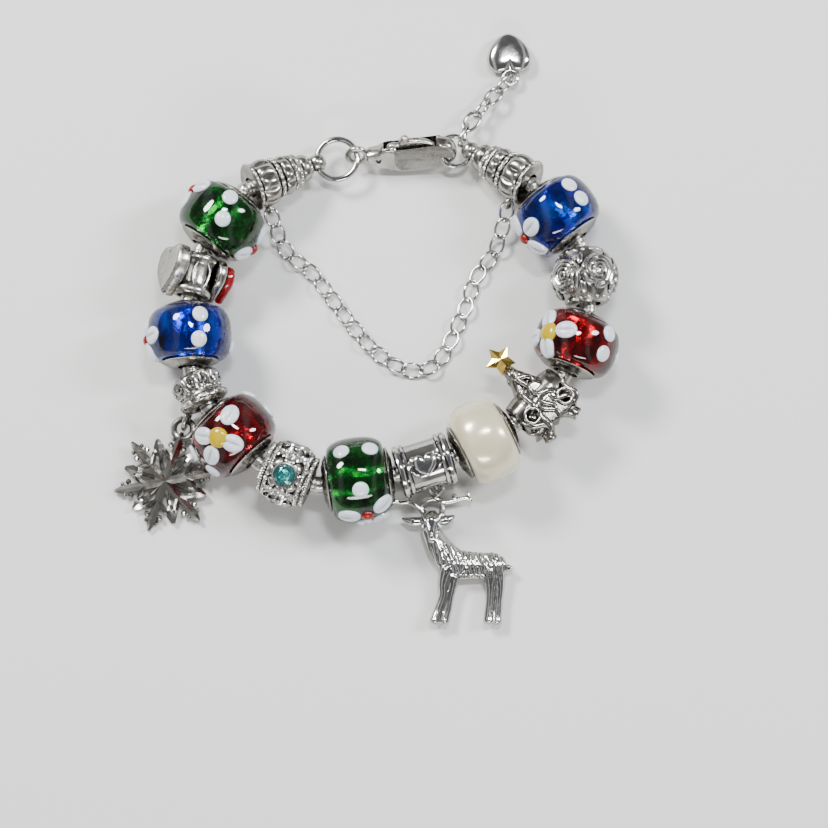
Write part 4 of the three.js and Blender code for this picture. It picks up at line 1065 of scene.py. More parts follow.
PETAL, DOT, YELLOW, RED = Kind
GREEN_ONE_DROPS = drops(
    (RED, -0.3, -78), (PETAL, 0.22, -72), (PETAL, -0.5, -55), (PETAL, -0.7, -92),
    (PETAL, -0.1, -112), (DOT, -0.68, 0), (DOT, 0.17, 10), (RED, 0.2, 98), (PETAL, -0.42, 88),
    (PETAL, 0.6, 78), (DOT, 0.3, 132),
)
BLUE_ONE_DROPS = drops(
    (RED, 0.2, -82), (PETAL, 0.12, -58), (PETAL, 0.7, -78), (PETAL, -0.32, -84),
    (PETAL, 0.3, -108), (DOT, -0.5, 20), (DOT, 0.48, 17), (DOT, 0.5, 96), (DOT, -0.3, 128),
)
RED_ONE_DROPS = drops(
    (YELLOW, -0.08, -21), (PETAL, -0.54, -36), (PETAL, 0.46, -12), (PETAL, 0.17, -48),
    (PETAL, -0.42, 12), (DOT, -0.7, 84), (DOT, 0.25, 84), (DOT, -0.5, -84), (DOT, 0.52, -76),
    (DOT, 0.0, 132),
)
GREEN_TWO_DROPS = drops(
    (DOT, -0.45, 37), (DOT, 0.55, 36), (DOT, 0.04, -23), (RED, 0.17, -68), (PETAL, -0.46, -66),
    (PETAL, 0.06, -94), (PETAL, 0.74, -54), (PETAL, 0.64, -92), (DOT, -0.4, 100), (DOT, 0.5, 112),
)
RED_TWO_DROPS = drops(
    (YELLOW, -0.22, 44), (PETAL, 0.36, 54), (PETAL, -0.45, 73), (PETAL, -0.8, 42),
    (PETAL, 0.06, 19), (DOT, 0.62, -44), (DOT, -0.25, -44), (DOT, 0.0, -90), (DOT, 0.3, 116),
)
BLUE_TWO_DROPS = drops(
    (DOT, 0.45, -33), (DOT, -0.25, -34), (PETAL, 0.07, 52), (PETAL, 0.55, 80), (RED, -0.04, 82),
    (PETAL, -0.62, 74), (PETAL, -0.1, 112), (DOT, 0.5, -100), (DOT, -0.35, -112),
)


@dataclass
class RoundBead:
    """A round bead of glass or pearl on a silver core."""

    name: str
    finish: Finish
    slot: str
    rows: tuple[Drop, ...] = ()
    radius: float = 6.7
    facets: int = 12
    shoulder: float = 4.5
    roundness: float = 2.3
    wall: float = 0.12
    cap: float = 0.75
    seat: float = 0.3
    sides: int = 72
    stations: int = 36
    core: Core = field(default_factory=Core)

    def half(self, length: float) -> float:
        """Returns half the length of the glass between the two caps."""
        return length / 2 - self.cap - self.seat

    def surface(self, share: float) -> float:
        """Returns the radius at a share of half the glass length."""
        full = self.radius * math.cos(math.pi / self.facets)
        bulge = max(1 - abs(share) ** self.roundness, 0.0) ** (1 / self.roundness)
        return self.shoulder + (full - self.shoulder) * bulge

    def body(self, length: float) -> Part:
        """Returns the round body about its middle, with its bore."""
        half = self.half(length)
        rows = []
        for k in range(self.stations + 1):
            share = -math.cos(math.pi * k / self.stations)
            rows.append((share * half, self.surface(share)))
        return bored(rows, self.core.tube + self.wall, self.sides)

    def lining(self, length: float) -> Part:
        """Returns the foil that lines the glass round the core."""
        half = self.half(length) * 0.9
        inner = self.core.tube + self.wall + 0.25
        rows = [(-half, inner + 0.3), (-half * 0.6, inner + 0.9), (0.0, inner + 1.1),
                (half * 0.6, inner + 0.9), (half, inner + 0.3)]
        return bored(rows, inner, self.sides // 2)

    def heading(self, drop: Drop, half: float) -> float:
        """Returns the angle in degrees that turns a drop to the middle of its flower."""
        def spot(row: Drop) -> Vector:
            """Returns a drop's place on the unrolled surface."""
            return Vector((row.along * half, math.radians(row.around) * self.radius))

        here = spot(drop)
        middles = [spot(row) for row in self.rows if row.kind in (Kind.RED, Kind.YELLOW)]
        near = min(middles, key=lambda middle: (middle - here).length, default=here)
        way = near - here
        return math.degrees(math.atan2(way.y, way.x)) if way.length > 1e-6 else 0.0

    def drop_part(self, drop: Drop, length: float) -> Part:
        """Returns one drop in its place about the bead's middle."""
        half = self.half(length)
        step = 0.01
        rise = self.surface(drop.along + step) - self.surface(drop.along - step)
        slope = rise / (2 * step * half)
        is_petal = drop.kind is Kind.PETAL
        place = (roll(drop.around) @ shift(drop.along * half, 0, self.surface(drop.along) - 0.06)
                 @ spin(-math.degrees(math.atan(slope)), "Y")
                 @ spin(self.heading(drop, half) if is_petal else 0.0, "Z"))
        return moved(dome(drop.kind.value, 0.55 if is_petal else 0.0, 0.5), place)

    def build(self, loop: Loop) -> list[Piece]:
        """Builds the bead and its core.

        Args:
            loop: The places of the beads.

        Returns:
            The two pieces.
        """
        span = loop.spans[self.name]
        colours = [self.finish, Finish.WHITE, Finish.YELLOW, Finish.RED, Finish.FOIL]
        number = {Kind.PETAL: 1, Kind.DOT: 1, Kind.YELLOW: 2, Kind.RED: 3}
        form = Form().add(self.body(span.length), span.middle)
        if self.rows:
            form.add(self.lining(span.length), span.middle, 4)
        for drop in self.rows:
            form.add(self.drop_part(drop, span.length), span.middle, number[drop.kind])
        used = colours if self.rows else [self.finish]
        ball_piece = put_out(f"{self.name}_round", form, used, [self.name])
        core = Form().add(self.core.part(span.length), span.middle)
        core_node = f"{self.name}_core"
        core_piece = put_out(f"{core_node}_caps", core, [Finish.AGED], [core_node])
        return [ball_piece, core_piece]


@dataclass(frozen=True)
class Barrel:
    """A bored silver bead from rows of shares of its half length and radius, with lobes."""

    length: float
    radius: float
    shares: Rows
    lobes: int = 0
    bore: float = 1.95
    sides: int = 96
    steps: int = 5

    def part(self) -> Part:
        """Returns the barrel about its middle, its profile drawn smoothly through the rows."""
        nodes = np.array(self.shares) * (self.length / 2, self.radius, 1)
        smooth = smooth_path(nodes, len(nodes) * self.steps)
        rows = [(x, radius) for x, radius, _ in smooth]
        depths = {round(x, 6): depth for x, _, depth in smooth}

        def shape(x: float, radius: float, angle: float) -> float:
            """Returns the factor that draws the radius in between lobes."""
            depth = depths.get(round(x, 6), 0.0)
            return 1 - depth * (0.5 - 0.5 * math.cos(self.lobes * angle)) if self.lobes else 1.0

        return bored(rows, self.bore, self.sides, shape)


def beads_round(count: int, radius: float, size: float, x: float,
                first: float = 0.0) -> list[Part]:
    """Returns granules in a ring about X."""
    grain = ball((size, size, size), sides=10, rows=6)
    return [moved(grain, roll(first + k * 360 / count) @ shift(x, 0, radius))
            for k in range(count)]


def rope(path: np.ndarray, wire: float, turns: float, closed: bool,
         strands: int = 2) -> list[Part]:
    """Returns strands of wire twisted round a path.

    Args:
        path: The middle of the rope, as fine points.
        wire: The radius of a strand.
        turns: How many times the strands go round.
        closed: True if the path closes.
        strands: How many strands there are.

    Returns:
        The strands.
    """
    ways = ways_along(path, closed)
    side = unit(np.cross(ways, (0.0, 0.0, 1.0)))
    top = np.cross(side, ways)
    share = np.arange(len(path)) / (len(path) if closed else len(path) - 1)
    parts = []
    for k in range(strands):
        angle = 2 * np.pi * (turns * share + k / strands)
        offset = wire * (side * np.cos(angle)[:, None] + top * np.sin(angle)[:, None])
        parts.append(sweep(path + offset, wire, 8, closed=closed))
    return parts


@dataclass(frozen=True)
class Bail:
    """The ring under a bead that a charm's loop hangs in."""

    radius: float
    wire: float
    drop: float
    along: float
    yaw: float

    def places(self, bead_radius: float, loop_radius: float) -> tuple[Matrix, Vector]:
        """Returns the bail's frame and the middle of the charm's loop, in the bead's frame.

        Args:
            bead_radius: Radius of the bead that carries the bail.
            loop_radius: Radius of the charm's own loop.

        Returns:
            The frame and the point.
        """
        drop = math.radians(self.drop)
        yaw = math.radians(self.yaw)
        hang = Vector((math.sin(yaw), -math.cos(yaw), 0))
        above = Vector((0, 0, 1))
        reach = self.radius - self.wire * 0.4
        foot = Vector((self.along, -bead_radius * math.cos(drop), -bead_radius * math.sin(drop)))
        middle = foot + hang * (reach * math.cos(drop)) - above * (reach * math.sin(drop))
        loop = middle + hang * (0.2 + loop_radius) - above * 0.22
        turn = Matrix.Rotation(math.atan2(hang.y, hang.x), 4, "Z") @ spin(90, "X")
        return Matrix.Translation(middle) @ turn, loop

    def part(self) -> Part:
        """Returns the ring about its own middle."""
        return torus(self.radius, self.wire, 40, 14)


def hung(loop: Vector, direction: float, loop_reach: float, far: float, height: float) -> Matrix:
    """Returns the frame of a charm that hangs in a loop and rests on the table.

    Args:
        loop: The middle of the charm's loop.
        direction: Which way the charm lies, in degrees from +X.
        loop_reach: How far the loop is from the charm's own middle.
        far: How far the charm reaches on the other side.
        height: Height of the charm's middle where it lies on the table.

    Returns:
        The charm's frame, with the loop on +X.
    """
    tilt = math.asin((loop.z - height) / (loop_reach + far))
    turn = spin(direction + 180, "Z") @ Matrix.Rotation(-tilt, 4, "Y")
    return Matrix.Translation(loop) @ turn @ shift(-loop_reach)


@dataclass
class HeartBead:
    """A barrel between two hearts: a plain satin one above and a small one with red enamel."""

    node: str = "heart_bead"
    radius: float = 3.2
    width: float = 8.4
    height: float = 8.0
    thickness: float = 2.2
    enamel: float = 1.4
    roll: float = -62.0
    back_share: float = 0.86
    enamel_share: float = 0.72
    seat: float = 0.3

    def heart(self, share: float, thickness: float, puff: float) -> Part:
        """Returns a puffed heart about its middle plane, its back flat."""
        outline = heart_outline(self.width * share, self.height * share, 14)
        half = thickness / 2
        levels = [(0.94, -half), (0.985, -half + 0.12), (1.0, -half + 0.3), (1.0, half * 0.1),
                  (0.985, half * 0.4), (0.95, half * 0.66), (0.88, half * 0.86)]
        levels += [(0.88 * (1 - t**1.6), half * (0.86 + puff * t))
                   for t in (0.25, 0.5, 0.75, 0.97)]
        return crown(outline, levels)

    def build(self, loop: Loop) -> list[Piece]:
        """Builds the silver bead and its enamel heart."""
        span = loop.spans[self.node]
        inner = self.radius * 0.72
        place = span.middle @ roll(self.roll)
        shares = ((-1, 0.8, 0), (-0.9, 0.98, 0), (-0.72, 1.02, 0), (-0.55, 0.95, 0),
                  (-0.4, 0.88, 0), (0, 0.86, 0), (0.4, 0.88, 0), (0.55, 0.95, 0),
                  (0.72, 1.02, 0), (0.9, 0.98, 0), (1, 0.8, 0))
        front = moved(self.heart(1.0, self.thickness, 0.14),
                      shift(0, 0, inner + self.thickness / 2 + 0.4))
        back_thickness = self.thickness * 0.7
        back = moved(self.heart(self.back_share, back_thickness, 0.1),
                     shift(0, 0, -inner - back_thickness / 2 - 0.3) @ spin(180, "X"))
        passage = lathe([(-9, 1.95), (9, 1.95)], 40)
        oval = moved(torus(1.7, 0.2, 40, 10), shift(0, self.radius * 0.84, 0) @ spin(90, "X")
                     @ stretch(1.25, 0.8, 1))
        hearts = [carved(heart, [passage]) for heart in (front, back)]
        form = Form().add(Barrel(span.length, self.radius, shares).part(), place, 1)
        form.add(oval, place, 1).add(hearts[0], place).add(hearts[1], place, 1)
        silver = put_out("heart_bead_cast", form, [Finish.SATIN, Finish.AGED], [self.node])
        top = inner + back_thickness + 0.3 + self.seat + self.enamel / 2
        enamel = Form().add(self.heart(self.enamel_share, self.enamel, 0.12),
                            place @ shift(0, 0, -top + 0.12) @ spin(180, "X"))
        red = put_out("heart_enamel_dome", enamel, [Finish.ENAMEL], ["heart_enamel"])
        return [silver, red]


@dataclass
class Snowflake:
    """A flat-backed cast snowflake with six ridged arms, six leaves and granules."""

    arm: float = 8.0
    leaf: float = 6.6
    thickness: float = 1.3
    arm_width: float = 1.3
    loop_radius: float = 1.5
    loop_wire: float = 0.5
    loop_reach: float = 8.5
    edge: float = 0.66

    def bar(self, length: float, width: float, height: float, point: float = 0.0) -> Part:
        """Returns a ridged bar along X with a flat back, which narrows to a point if asked."""
        rows = [(0.0, 1.0, 1.0), (length - point, 1.0, 1.0)]
        if point:
            rows.append((length, 0.34, 0.8))
        rings = []
        for x, wide, high in rows:
            half = width * wide / 2
            side = height * self.edge * high
            rings.append(np.array([(x, -half, 0), (x, half, 0), (x, half, side),
                                   (x, 0, height * high), (x, -half, side)]))
        return skin(rings)

    def part(self) -> Part:
        """Returns the snowflake about its middle, its loop on +X."""
        high = self.thickness
        parts = []
        for i in range(6):
            arm = spin(i * 60, "Z")
            leaf = spin(i * 60 + 30, "Z") @ shift(0, 0, 0.04)
            parts.append(moved(self.bar(self.arm, self.arm_width, high, 1.3), arm))
            parts.append(moved(self.bar(self.leaf - 1.5, 0.6, high * 0.62), leaf))
            parts.append(moved(self.bar(2.0, 1.6, high * 0.8, 1.1), leaf @ shift(self.leaf - 2.0)))
            parts.append(moved(self.bar(0.9, 1.6, high * 0.8, 0.8),
                               leaf @ shift(self.leaf - 1.98) @ spin(180, "Z")))
            for side in (-1, 1):
                chevron = arm @ shift(self.arm * 0.42, side * 0.3, 0.02) @ spin(side * 52, "Z")
                parts.append(moved(self.bar(2.2, 0.75, high * 0.94, 0.4), chevron))
                for reach, off, size in ((0.7, 1.05, 0.46), (0.82, 0.86, 0.34)):
                    grain = arm @ shift(self.arm * reach, side * off, high * 0.4)
                    parts.append(moved(ball((size, size, high * 0.39), 14, 7), grain))
        parts.append(moved(torus(self.loop_radius, self.loop_wire, 40, 12),
                           shift(self.loop_reach, 0, high * 0.5)))
        return moved(gathered(parts), shift(0, 0, -high / 2))

    def build(self, place: Matrix) -> Piece:
        """Builds the snowflake in its frame."""
        form = Form().add(self.part(), place)
        return put_out("snowflake_cast", form, [Finish.GUNMETAL], ["snowflake"],
                       sharp=20.0)


@dataclass
class OrnateBead:
    """A squat bead with a wreath of leaves, scrolls and granules, and the snowflake's bail."""

    node: str = "ornate_bead"
    radius: float = 3.9
    bail: Bail = Bail(1.7, 0.38, 45, 1.6, 45)
    hang: float = 251.0
    flake: Snowflake = field(default_factory=Snowflake)
    rest: float = 0.65

    def build(self, loop: Loop) -> list[Piece]:
        """Builds the bead and the snowflake that hangs from it."""
        span = loop.spans[self.node]
        half = span.length / 2
        shares = ((-1, 0.76, 0), (-0.82, 0.92, 0.04), (-0.62, 1.02, 0.16), (-0.3, 1.0, 0.18),
                  (-0.05, 0.9, 0.08), (0.12, 0.83, 0), (0.35, 0.86, 0), (0.5, 0.96, 0),
                  (0.78, 0.95, 0), (1, 0.72, 0))
        barrel = Barrel(span.length, self.radius, shares, lobes=11).part()
        parts = beads_round(15, self.radius * 0.92, 0.42, half * 0.64, 12)
        parts += beads_round(22, self.radius * 0.84, 0.24, half * 0.14)
        for k in range(11):
            turn = np.linspace(-0.2, 1.3 * math.pi, 16)
            curl = np.stack([-0.9 + 0.62 * np.sin(turn) * (1 - turn / 7),
                             0.55 * np.cos(turn) * (1 - turn / 7),
                             np.full(16, self.radius * 0.97)], axis=1)
            parts.append(moved(sweep(curl, 0.17, 8), roll(k * 360 / 11 + 180 / 11)))
        bail_frame, hang_point = self.bail.places(self.radius, self.flake.loop_radius)
        form = Form().add(barrel, span.middle).add(self.bail.part(), span.middle @ bail_frame)
        form.add(parts, span.middle)
        bead = put_out("ornate_bead_cast", form, [Finish.AGED], [self.node])
        point = span.middle @ hang_point
        flake = self.flake
        place = hung(point, self.hang, flake.loop_reach, flake.arm, self.rest)
        return [bead, flake.build(place)]


@dataclass
class RoseBall:
    """A ball bead of full roses, each two rounds of petals about a bud."""

    node: str = "rose_ball_bead"
    radius: float = 4.7
    count: int = 5
    first: float = -25.0
    size: float = 2.95
    rims: Rows = (
        (0.84, 5, 0.36), (0.6, 4, 0.32), (0.38, 3, 0.28), (0.17, 2, 0.24),
    )

    def rose(self, size: float) -> list[Part]:
        """Returns a rose's parts about its own middle, opening towards +Z."""
        parts = [moved(ball((size * 0.95, size * 0.95, 1.2), 24, 8), shift(0, 0, -0.7))]
        for ring, (reach, petals, wire) in enumerate(self.rims):
            radius = size * reach * np.linspace(1.06, 0.84, 14)
            height = 1.2 * np.sqrt(np.clip(1 - (radius / size / 0.95) ** 2, 0.05, 1)) - 0.66
            rim = arc(radius, np.linspace(0, 2.5 * math.pi / petals, 14), height)
            radii = wire * np.sqrt(np.clip(1.1 - np.linspace(-1, 1, 14) ** 2, 0, 1))
            for k in range(petals):
                turn = spin(k * 360 / petals + ring * 31, "Z")
                parts.append(moved(sweep(rim, radii, 8), turn))
        return parts

    def build(self, loop: Loop) -> list[Piece]:
        """Builds the bead."""
        span = loop.spans[self.node]
        shares = ((-1, 0.62, 0), (-0.9, 0.7, 0), (-0.6, 0.84, 0), (-0.2, 0.93, 0), (0.2, 0.93, 0),
                  (0.6, 0.84, 0), (0.9, 0.7, 0), (1, 0.62, 0))
        parts = [Barrel(span.length, self.radius, shares, sides=48).part()]
        for k in range(self.count):
            place = roll(self.first + k * 360 / self.count) @ shift(0, 0, self.radius * 0.93)
            parts += [moved(part, place) for part in self.rose(self.size)]
        for end in (-1, 1):
            x = end * span.length * 0.43
            parts += beads_round(16, self.radius * 0.69, 0.34, x)
            for k in range(self.count):
                leaf = ball((1.1, 0.6, 0.3), 14, 8)
                turn = self.first + (k + 0.5) * 360 / self.count
                lean = roll(turn) @ shift(end * span.length * 0.27, 0, self.radius * 0.9)
                parts.append(moved(leaf, lean @ spin(end * 24, "Y")))
        form = Form().add(parts, span.middle)
        return [put_out("rose_ball_cast", form, [Finish.AGED], [self.node])]


@dataclass
class CrystalRoseBead:
    """A bead of braided wire with four round crystals, each in a collar of rose petals."""

    node: str = "crystal_rose_bead"
    radius: float = 4.5
    crystal: float = 1.6
    depth: float = 1.5
    seat: float = 0.3
    count: int = 4
    first: float = -12.0
    cut_sides: int = 16

    def stone(self, girdle: float, table: float) -> Part:
        """Returns a cut stone with its table towards +Z, from its girdle and table heights."""
        wide = self.crystal
        heights = [(0.06, girdle - self.depth + self.seat),
                   (wide * 0.55, girdle - self.depth * 0.45), (wide, girdle - 0.08),
                   (wide, girdle + 0.06), (wide * 0.8, table - 0.02), (wide * 0.56, table + 0.15)]
        rings = []
        for k, (radius, z) in enumerate(heights):
            half_step = math.pi / self.cut_sides if k in (1, 4) else 0.0
            rings.append(arc(radius, turns_of(self.cut_sides) + half_step, z))
        return skin(rings)

    def collar(self, table: float) -> list[Part]:
        """Returns the bezel and the petals round one stone, towards +Z."""
        inner = self.crystal + 0.06
        bezel = bored([(table - 1.5, inner + 0.5), (table - 0.2, inner + 0.36),
                       (table + 0.02, inner + 0.24), (table + 0.06, inner + 0.1)], inner, 40)
        parts = [moved(bezel, spin(-90, "Y"))]
        for k in range(8):
            petal = ball((0.5, 0.78, 0.2), 14, 8)
            place = spin(k * 45, "Z") @ shift(inner + 0.62, 0, table - 0.4) @ spin(32, "Y")
            parts.append(moved(petal, place))
        return parts

    def build(self, loop: Loop) -> list[Piece]:
        """Builds the setting and its four stones."""
        span = loop.spans[self.node]
        table = self.radius + 0.25
        girdle = table - 0.3
        shares = ((-1, 0.62, 0), (-0.85, 0.78, 0), (-0.5, 0.86, 0), (0, 0.88, 0), (0.5, 0.86, 0),
                  (0.85, 0.78, 0), (1, 0.62, 0))
        pieces = []
        form = Form()
        turns = [roll(self.first + k * 360 / self.count) for k in range(self.count)]
        floor = girdle - self.depth
        drill = lathe([(floor, self.crystal + 0.05), (9, self.crystal + 0.05)], 32)
        sinks = [moved(drill, turn @ spin(-90, "Y")) for turn in turns]
        form.add(carved(Barrel(span.length, self.radius, shares).part(), sinks), span.middle)
        for end in (-1, 1):
            for share, reach, twists in ((0.88, 0.8, 26), (0.66, 0.88, 30)):
                place = shift(end * share * span.length / 2) @ spin(90, "Y")
                ring = moved(Part(circle(self.radius * reach, 240), []), place)
                form.add(rope(ring.points, 0.2, twists, True), span.middle)
        wide = self.crystal + 0.03
        foil = lathe([(floor + 0.02, wide), (floor + 0.16, wide)], 32)
        for k, turn in enumerate(turns):
            form.add(self.collar(table), span.middle @ turn)
            form.add(foil, span.middle @ turn @ spin(-90, "Y"), 1)
            middle = roll(self.first + (k + 0.5) * 360 / self.count)
            for lane in (-0.45, 0.0, 0.45):
                x = np.linspace(-0.62, 0.62, 60) * span.length / 2
                y = 0.55 * np.sin(np.linspace(0, 3 * math.pi, 60) + lane * 4)
                braid = np.stack([x, y, np.full(60, self.radius * 0.93)], axis=1)
                form.add(rope(braid, 0.15, 12, False), span.middle @ middle)
            stone = Form().add(self.stone(girdle, table), span.middle @ turn)
            node = f"crystal_{k + 1}"
            pieces.append(put_out(f"{node}_cut", stone, [Finish.TEAL], [node],
                                  sharp=4.0))
        setting = put_out("crystal_rose_setting", form, [Finish.AGED, Finish.FOIL], [self.node])
        return [setting] + pieces


@dataclass(frozen=True)
class Limb:
    """A limb of the reindeer: rings of (across, height, radius) in shares of its height."""

    rings: Rows
    lift: float = 0.0

    def part(self, height: float, thickness: float) -> Part:
        """Returns the limb in millimetres, about the reindeer's loop.

        Args:
            height: The reindeer's height.
            thickness: Its thickness.

        Returns:
            A round-ended limb.
        """
        nodes = [(x * height, y * height, radius * height) for x, y, radius in self.rings]
        smooth = smooth_path(nodes, 8 * len(nodes))
        middle = self.lift * thickness
        radii = smooth[:, 2].copy()
        path = smooth
        path[:, 2] = middle
        start = path[0] + unit(path[0] - path[1]) * radii[0] * 0.5
        end = path[-1] + unit(path[-1] - path[-2]) * radii[-1] * 0.5
        radii = np.concatenate([[radii[0] * 0.6], radii, [radii[-1] * 0.6]])
        limb = sweep(np.vstack([start, path, end]), radii, 16)
        squash = min(1.0, (thickness / 2 - abs(middle)) / radii.max())
        return moved(limb, shift(0, 0, middle * (1 - squash)) @ stretch(1, 1, squash))


@dataclass
class Reindeer:
    """A cast reindeer seen from its side, with its head turned to the viewer."""

    height: float = 20.6
    thickness: float = 3.2
    loop_radius: float = 1.0
    loop_wire: float = 0.34
    grain: float = 0.13
    fur_depth: float = 0.26
    fur_pitch: float = 0.78
    limbs: tuple[Limb, ...] = (
        Limb(((0.03, -0.56, 0.05), (0.1, -0.57, 0.105), (0.2, -0.575, 0.112), (0.33, -0.58, 0.102),
              (0.42, -0.585, 0.108), (0.49, -0.6, 0.075), (0.515, -0.61, 0.03))),
        Limb(((0.12, -0.55, 0.11), (0.05, -0.48, 0.1), (-0.005, -0.39, 0.085),
              (-0.05, -0.3, 0.07))),
        Limb(((-0.1, -0.25, 0.034), (-0.18, -0.25, 0.036), (-0.255, -0.228, 0.01))),
        Limb(((0.02, -0.25, 0.034), (0.085, -0.235, 0.036), (0.132, -0.207, 0.012))),
        Limb(((0.5, -0.585, 0.04), (0.562, -0.6, 0.016))),
        Limb(((-0.075, -0.24, 0.026), (-0.105, -0.17, 0.023), (-0.195, -0.106, 0.021),
              (-0.255, -0.108, 0.02), (-0.322, -0.1, 0.02), (-0.35, -0.152, 0.012))),
        Limb(((-0.318, -0.1, 0.018), (-0.33, -0.036, 0.012))),
        Limb(((-0.19, -0.106, 0.018), (-0.2, -0.05, 0.013))),
        Limb(((0.03, -0.24, 0.026), (0.045, -0.17, 0.023), (0.052, -0.114, 0.021),
              (0.11, -0.1, 0.02), (0.19, -0.078, 0.02), (0.24, -0.078, 0.02),
              (0.262, -0.1, 0.012))),
        Limb(((0.125, -0.095, 0.018), (0.137, -0.05, 0.019))),
        Limb(((0.238, -0.078, 0.018), (0.24, -0.026, 0.012))),
        Limb(((-0.105, -0.15, 0.02), (-0.09, -0.1, 0.021), (-0.03, -0.078, 0.023),
              (0.01, -0.085, 0.023), (0.05, -0.105, 0.02))),
        Limb(((0.0, -0.09, 0.022), (0.0, -0.05, 0.018))),
        Limb(((0.08, -0.6, 0.062), (0.052, -0.72, 0.042), (0.05, -0.8, 0.034),
              (0.018, -0.9, 0.034), (-0.005, -0.965, 0.038), (-0.012, -0.995, 0.042)), lift=0.06),
        Limb(((0.13, -0.6, 0.062), (0.115, -0.72, 0.042), (0.1, -0.8, 0.034),
              (0.082, -0.9, 0.034), (0.064, -0.965, 0.037), (0.058, -0.995, 0.04)), lift=-0.04),
        Limb(((0.4, -0.62, 0.07), (0.402, -0.74, 0.04), (0.4, -0.82, 0.033),
              (0.393, -0.9, 0.034), (0.388, -0.965, 0.037), (0.388, -0.995, 0.041)), lift=0.06),
        Limb(((0.45, -0.62, 0.07), (0.466, -0.74, 0.04), (0.462, -0.82, 0.033),
              (0.456, -0.9, 0.033), (0.45, -0.965, 0.036), (0.45, -0.995, 0.039)), lift=-0.04),
    )
    head: Limb = Limb(
        ((-0.04, -0.2, 0.06), (-0.038, -0.24, 0.078), (-0.036, -0.29, 0.07),
         (-0.034, -0.35, 0.048), (-0.033, -0.392, 0.034)), lift=0.12
    )

    def face(self) -> list[Part]:
        """Returns the brow, the eyes and the nose on the upper side of the head."""
        tall = self.height
        top = self.thickness * 0.44
        parts = []
        for side in (-1, 1):
            brow = ((-0.037 + side * 0.07, -0.2, 0.8), (-0.037 + side * 0.045, -0.25, 0.98),
                    (-0.036 + side * 0.024, -0.32, 0.98), (-0.034 + side * 0.016, -0.375, 0.86))
            path = smooth_path([(x * tall, y * tall, z * top) for x, y, z in brow], 18)
            parts.append(sweep(path, 0.26, 8))
            eye = shift((-0.037 + side * 0.068) * tall, -0.292 * tall, top * 0.72)
            parts.append(moved(ball((0.3, 0.42, 0.3), 14, 8), eye))
        nose = shift(-0.033 * tall, -0.395 * tall, top * 0.78)
        parts.append(moved(ball((0.5, 0.36, 0.42), 16, 8), nose))
        return parts

    def fur(self, part: Part) -> Part:
        """Returns the skin with short slanted strokes pressed into the body and the neck."""
        tall = self.height
        points = part.points
        x, y, _ = points.T
        along = x * 0.97 + y * 0.24
        down = y * 0.97 - x * 0.24
        column = np.floor(along / self.fur_pitch)
        groove = 1 - np.abs(np.sin(math.pi * along / self.fur_pitch)) ** 0.5
        breaks = np.clip(2.2 * np.abs(np.sin(math.pi * (down / 3.1 + 0.31 * column))), 0, 1)
        flank = np.clip((x / tall - 0.1) * 14, 0, 1) * np.clip((y / tall + 0.72) * 14, 0, 1)
        ruff = np.clip((-0.4 - y / tall) * 14, 0, 1) * np.clip((y / tall + 0.66) * 14, 0, 1)
        depth = self.fur_depth * groove * breaks * np.maximum(flank * (y < -0.42 * tall), ruff)
        return Part(points - normals_of(part) * depth[:, None], part.faces)

    def part(self) -> Part:
        """Returns the reindeer about its loop, with its legs towards -X."""
        cast_of = [limb.part(self.height, self.thickness) for limb in (*self.limbs, self.head)]
        skin_part = melted(cast_of + self.face(), self.grain, 2)
        furred = self.fur(skin_part)
        half = self.thickness / 2
        points = furred.points.copy()
        points[:, 2] = np.clip(points[:, 2], -half, half)
        return moved(Part(points, furred.faces), spin(-90, "Z"))

    def build(self, place: Matrix) -> Piece:
        """Builds the reindeer in its frame."""
        form = Form().add(self.part(), place)
        form.add(torus(self.loop_radius, self.loop_wire, 36, 12), place)
        return put_out("reindeer_cast", form, [Finish.SILVER], ["reindeer"])


@dataclass
class TubeBead:
    """A polished tube with two bands at each end, a heart on top and the reindeer's bail."""

    node: str = "tube_bead"
    radius: float = 3.8
    rim: float = 4.15
    bail: Bail = Bail(1.25, 0.32, 65, 0.9, 0)
    hang: float = 270.0
    heart_width: float = 3.8
    heart_height: float = 3.6
    deer: Reindeer = field(default_factory=Reindeer)

    def build(self, loop: Loop) -> list[Piece]:
        """Builds the bead and the reindeer that hangs from it."""
        span = loop.spans[self.node]
        half = span.length / 2
        low = self.radius - 0.12
        rows = [(0.0, low), (0.5 * half, low), (0.56 * half, low + 0.05)]
        for start, end in ((0.58, 0.72), (0.76, 0.97)):
            middle = (start + end) / 2
            rows += [(start * half, low), ((start + 0.02) * half, self.rim - 0.12),
                     (middle * half, self.rim), ((end - 0.02) * half, self.rim - 0.12),
                     (end * half, low)]
        rows += [(half, self.rim * 0.84), (half, 2.2)]
        profile = [(-x, radius) for x, radius in rows[::-1]] + rows[1:]
        form = Form().add(bored(profile, 1.95, 80), span.middle)
        levels = [(1.0, -0.6), (1.0, 0.2), (0.94, 0.42), (0.8, 0.58), (0.5, 0.68), (0.03, 0.7)]
        outline = heart_outline(self.heart_width, self.heart_height, 12)
        for turn in (-8, 172):
            place = span.middle @ roll(turn) @ shift(0, 0, self.radius - 0.08) @ spin(-90, "Z")
            form.add(crown(outline, levels), place)
            for side in (-1, 1):
                bow = shift(-0.9, side * 2.0, 0) @ spin(side * 35, "Z") @ spin(14 * side, "X")
                form.add(ball((0.95, 0.5, 0.42), 18, 8), place @ bow)
                tail = shift(0.9, side * 1.9, -0.16) @ spin(-side * 50, "Z")
                form.add(ball((0.85, 0.26, 0.3), 16, 8), place @ tail)
        bail_frame, hang_point = self.bail.places(self.radius, self.deer.loop_radius)
        form.add(self.bail.part(), span.middle @ bail_frame)
        bead = put_out("tube_bead_cast", form, [Finish.SILVER], [self.node])
        point = span.middle @ hang_point
        place = hung(point, self.hang, 0.0, self.deer.height, self.deer.thickness / 2)
        return [bead, self.deer.build(place)]


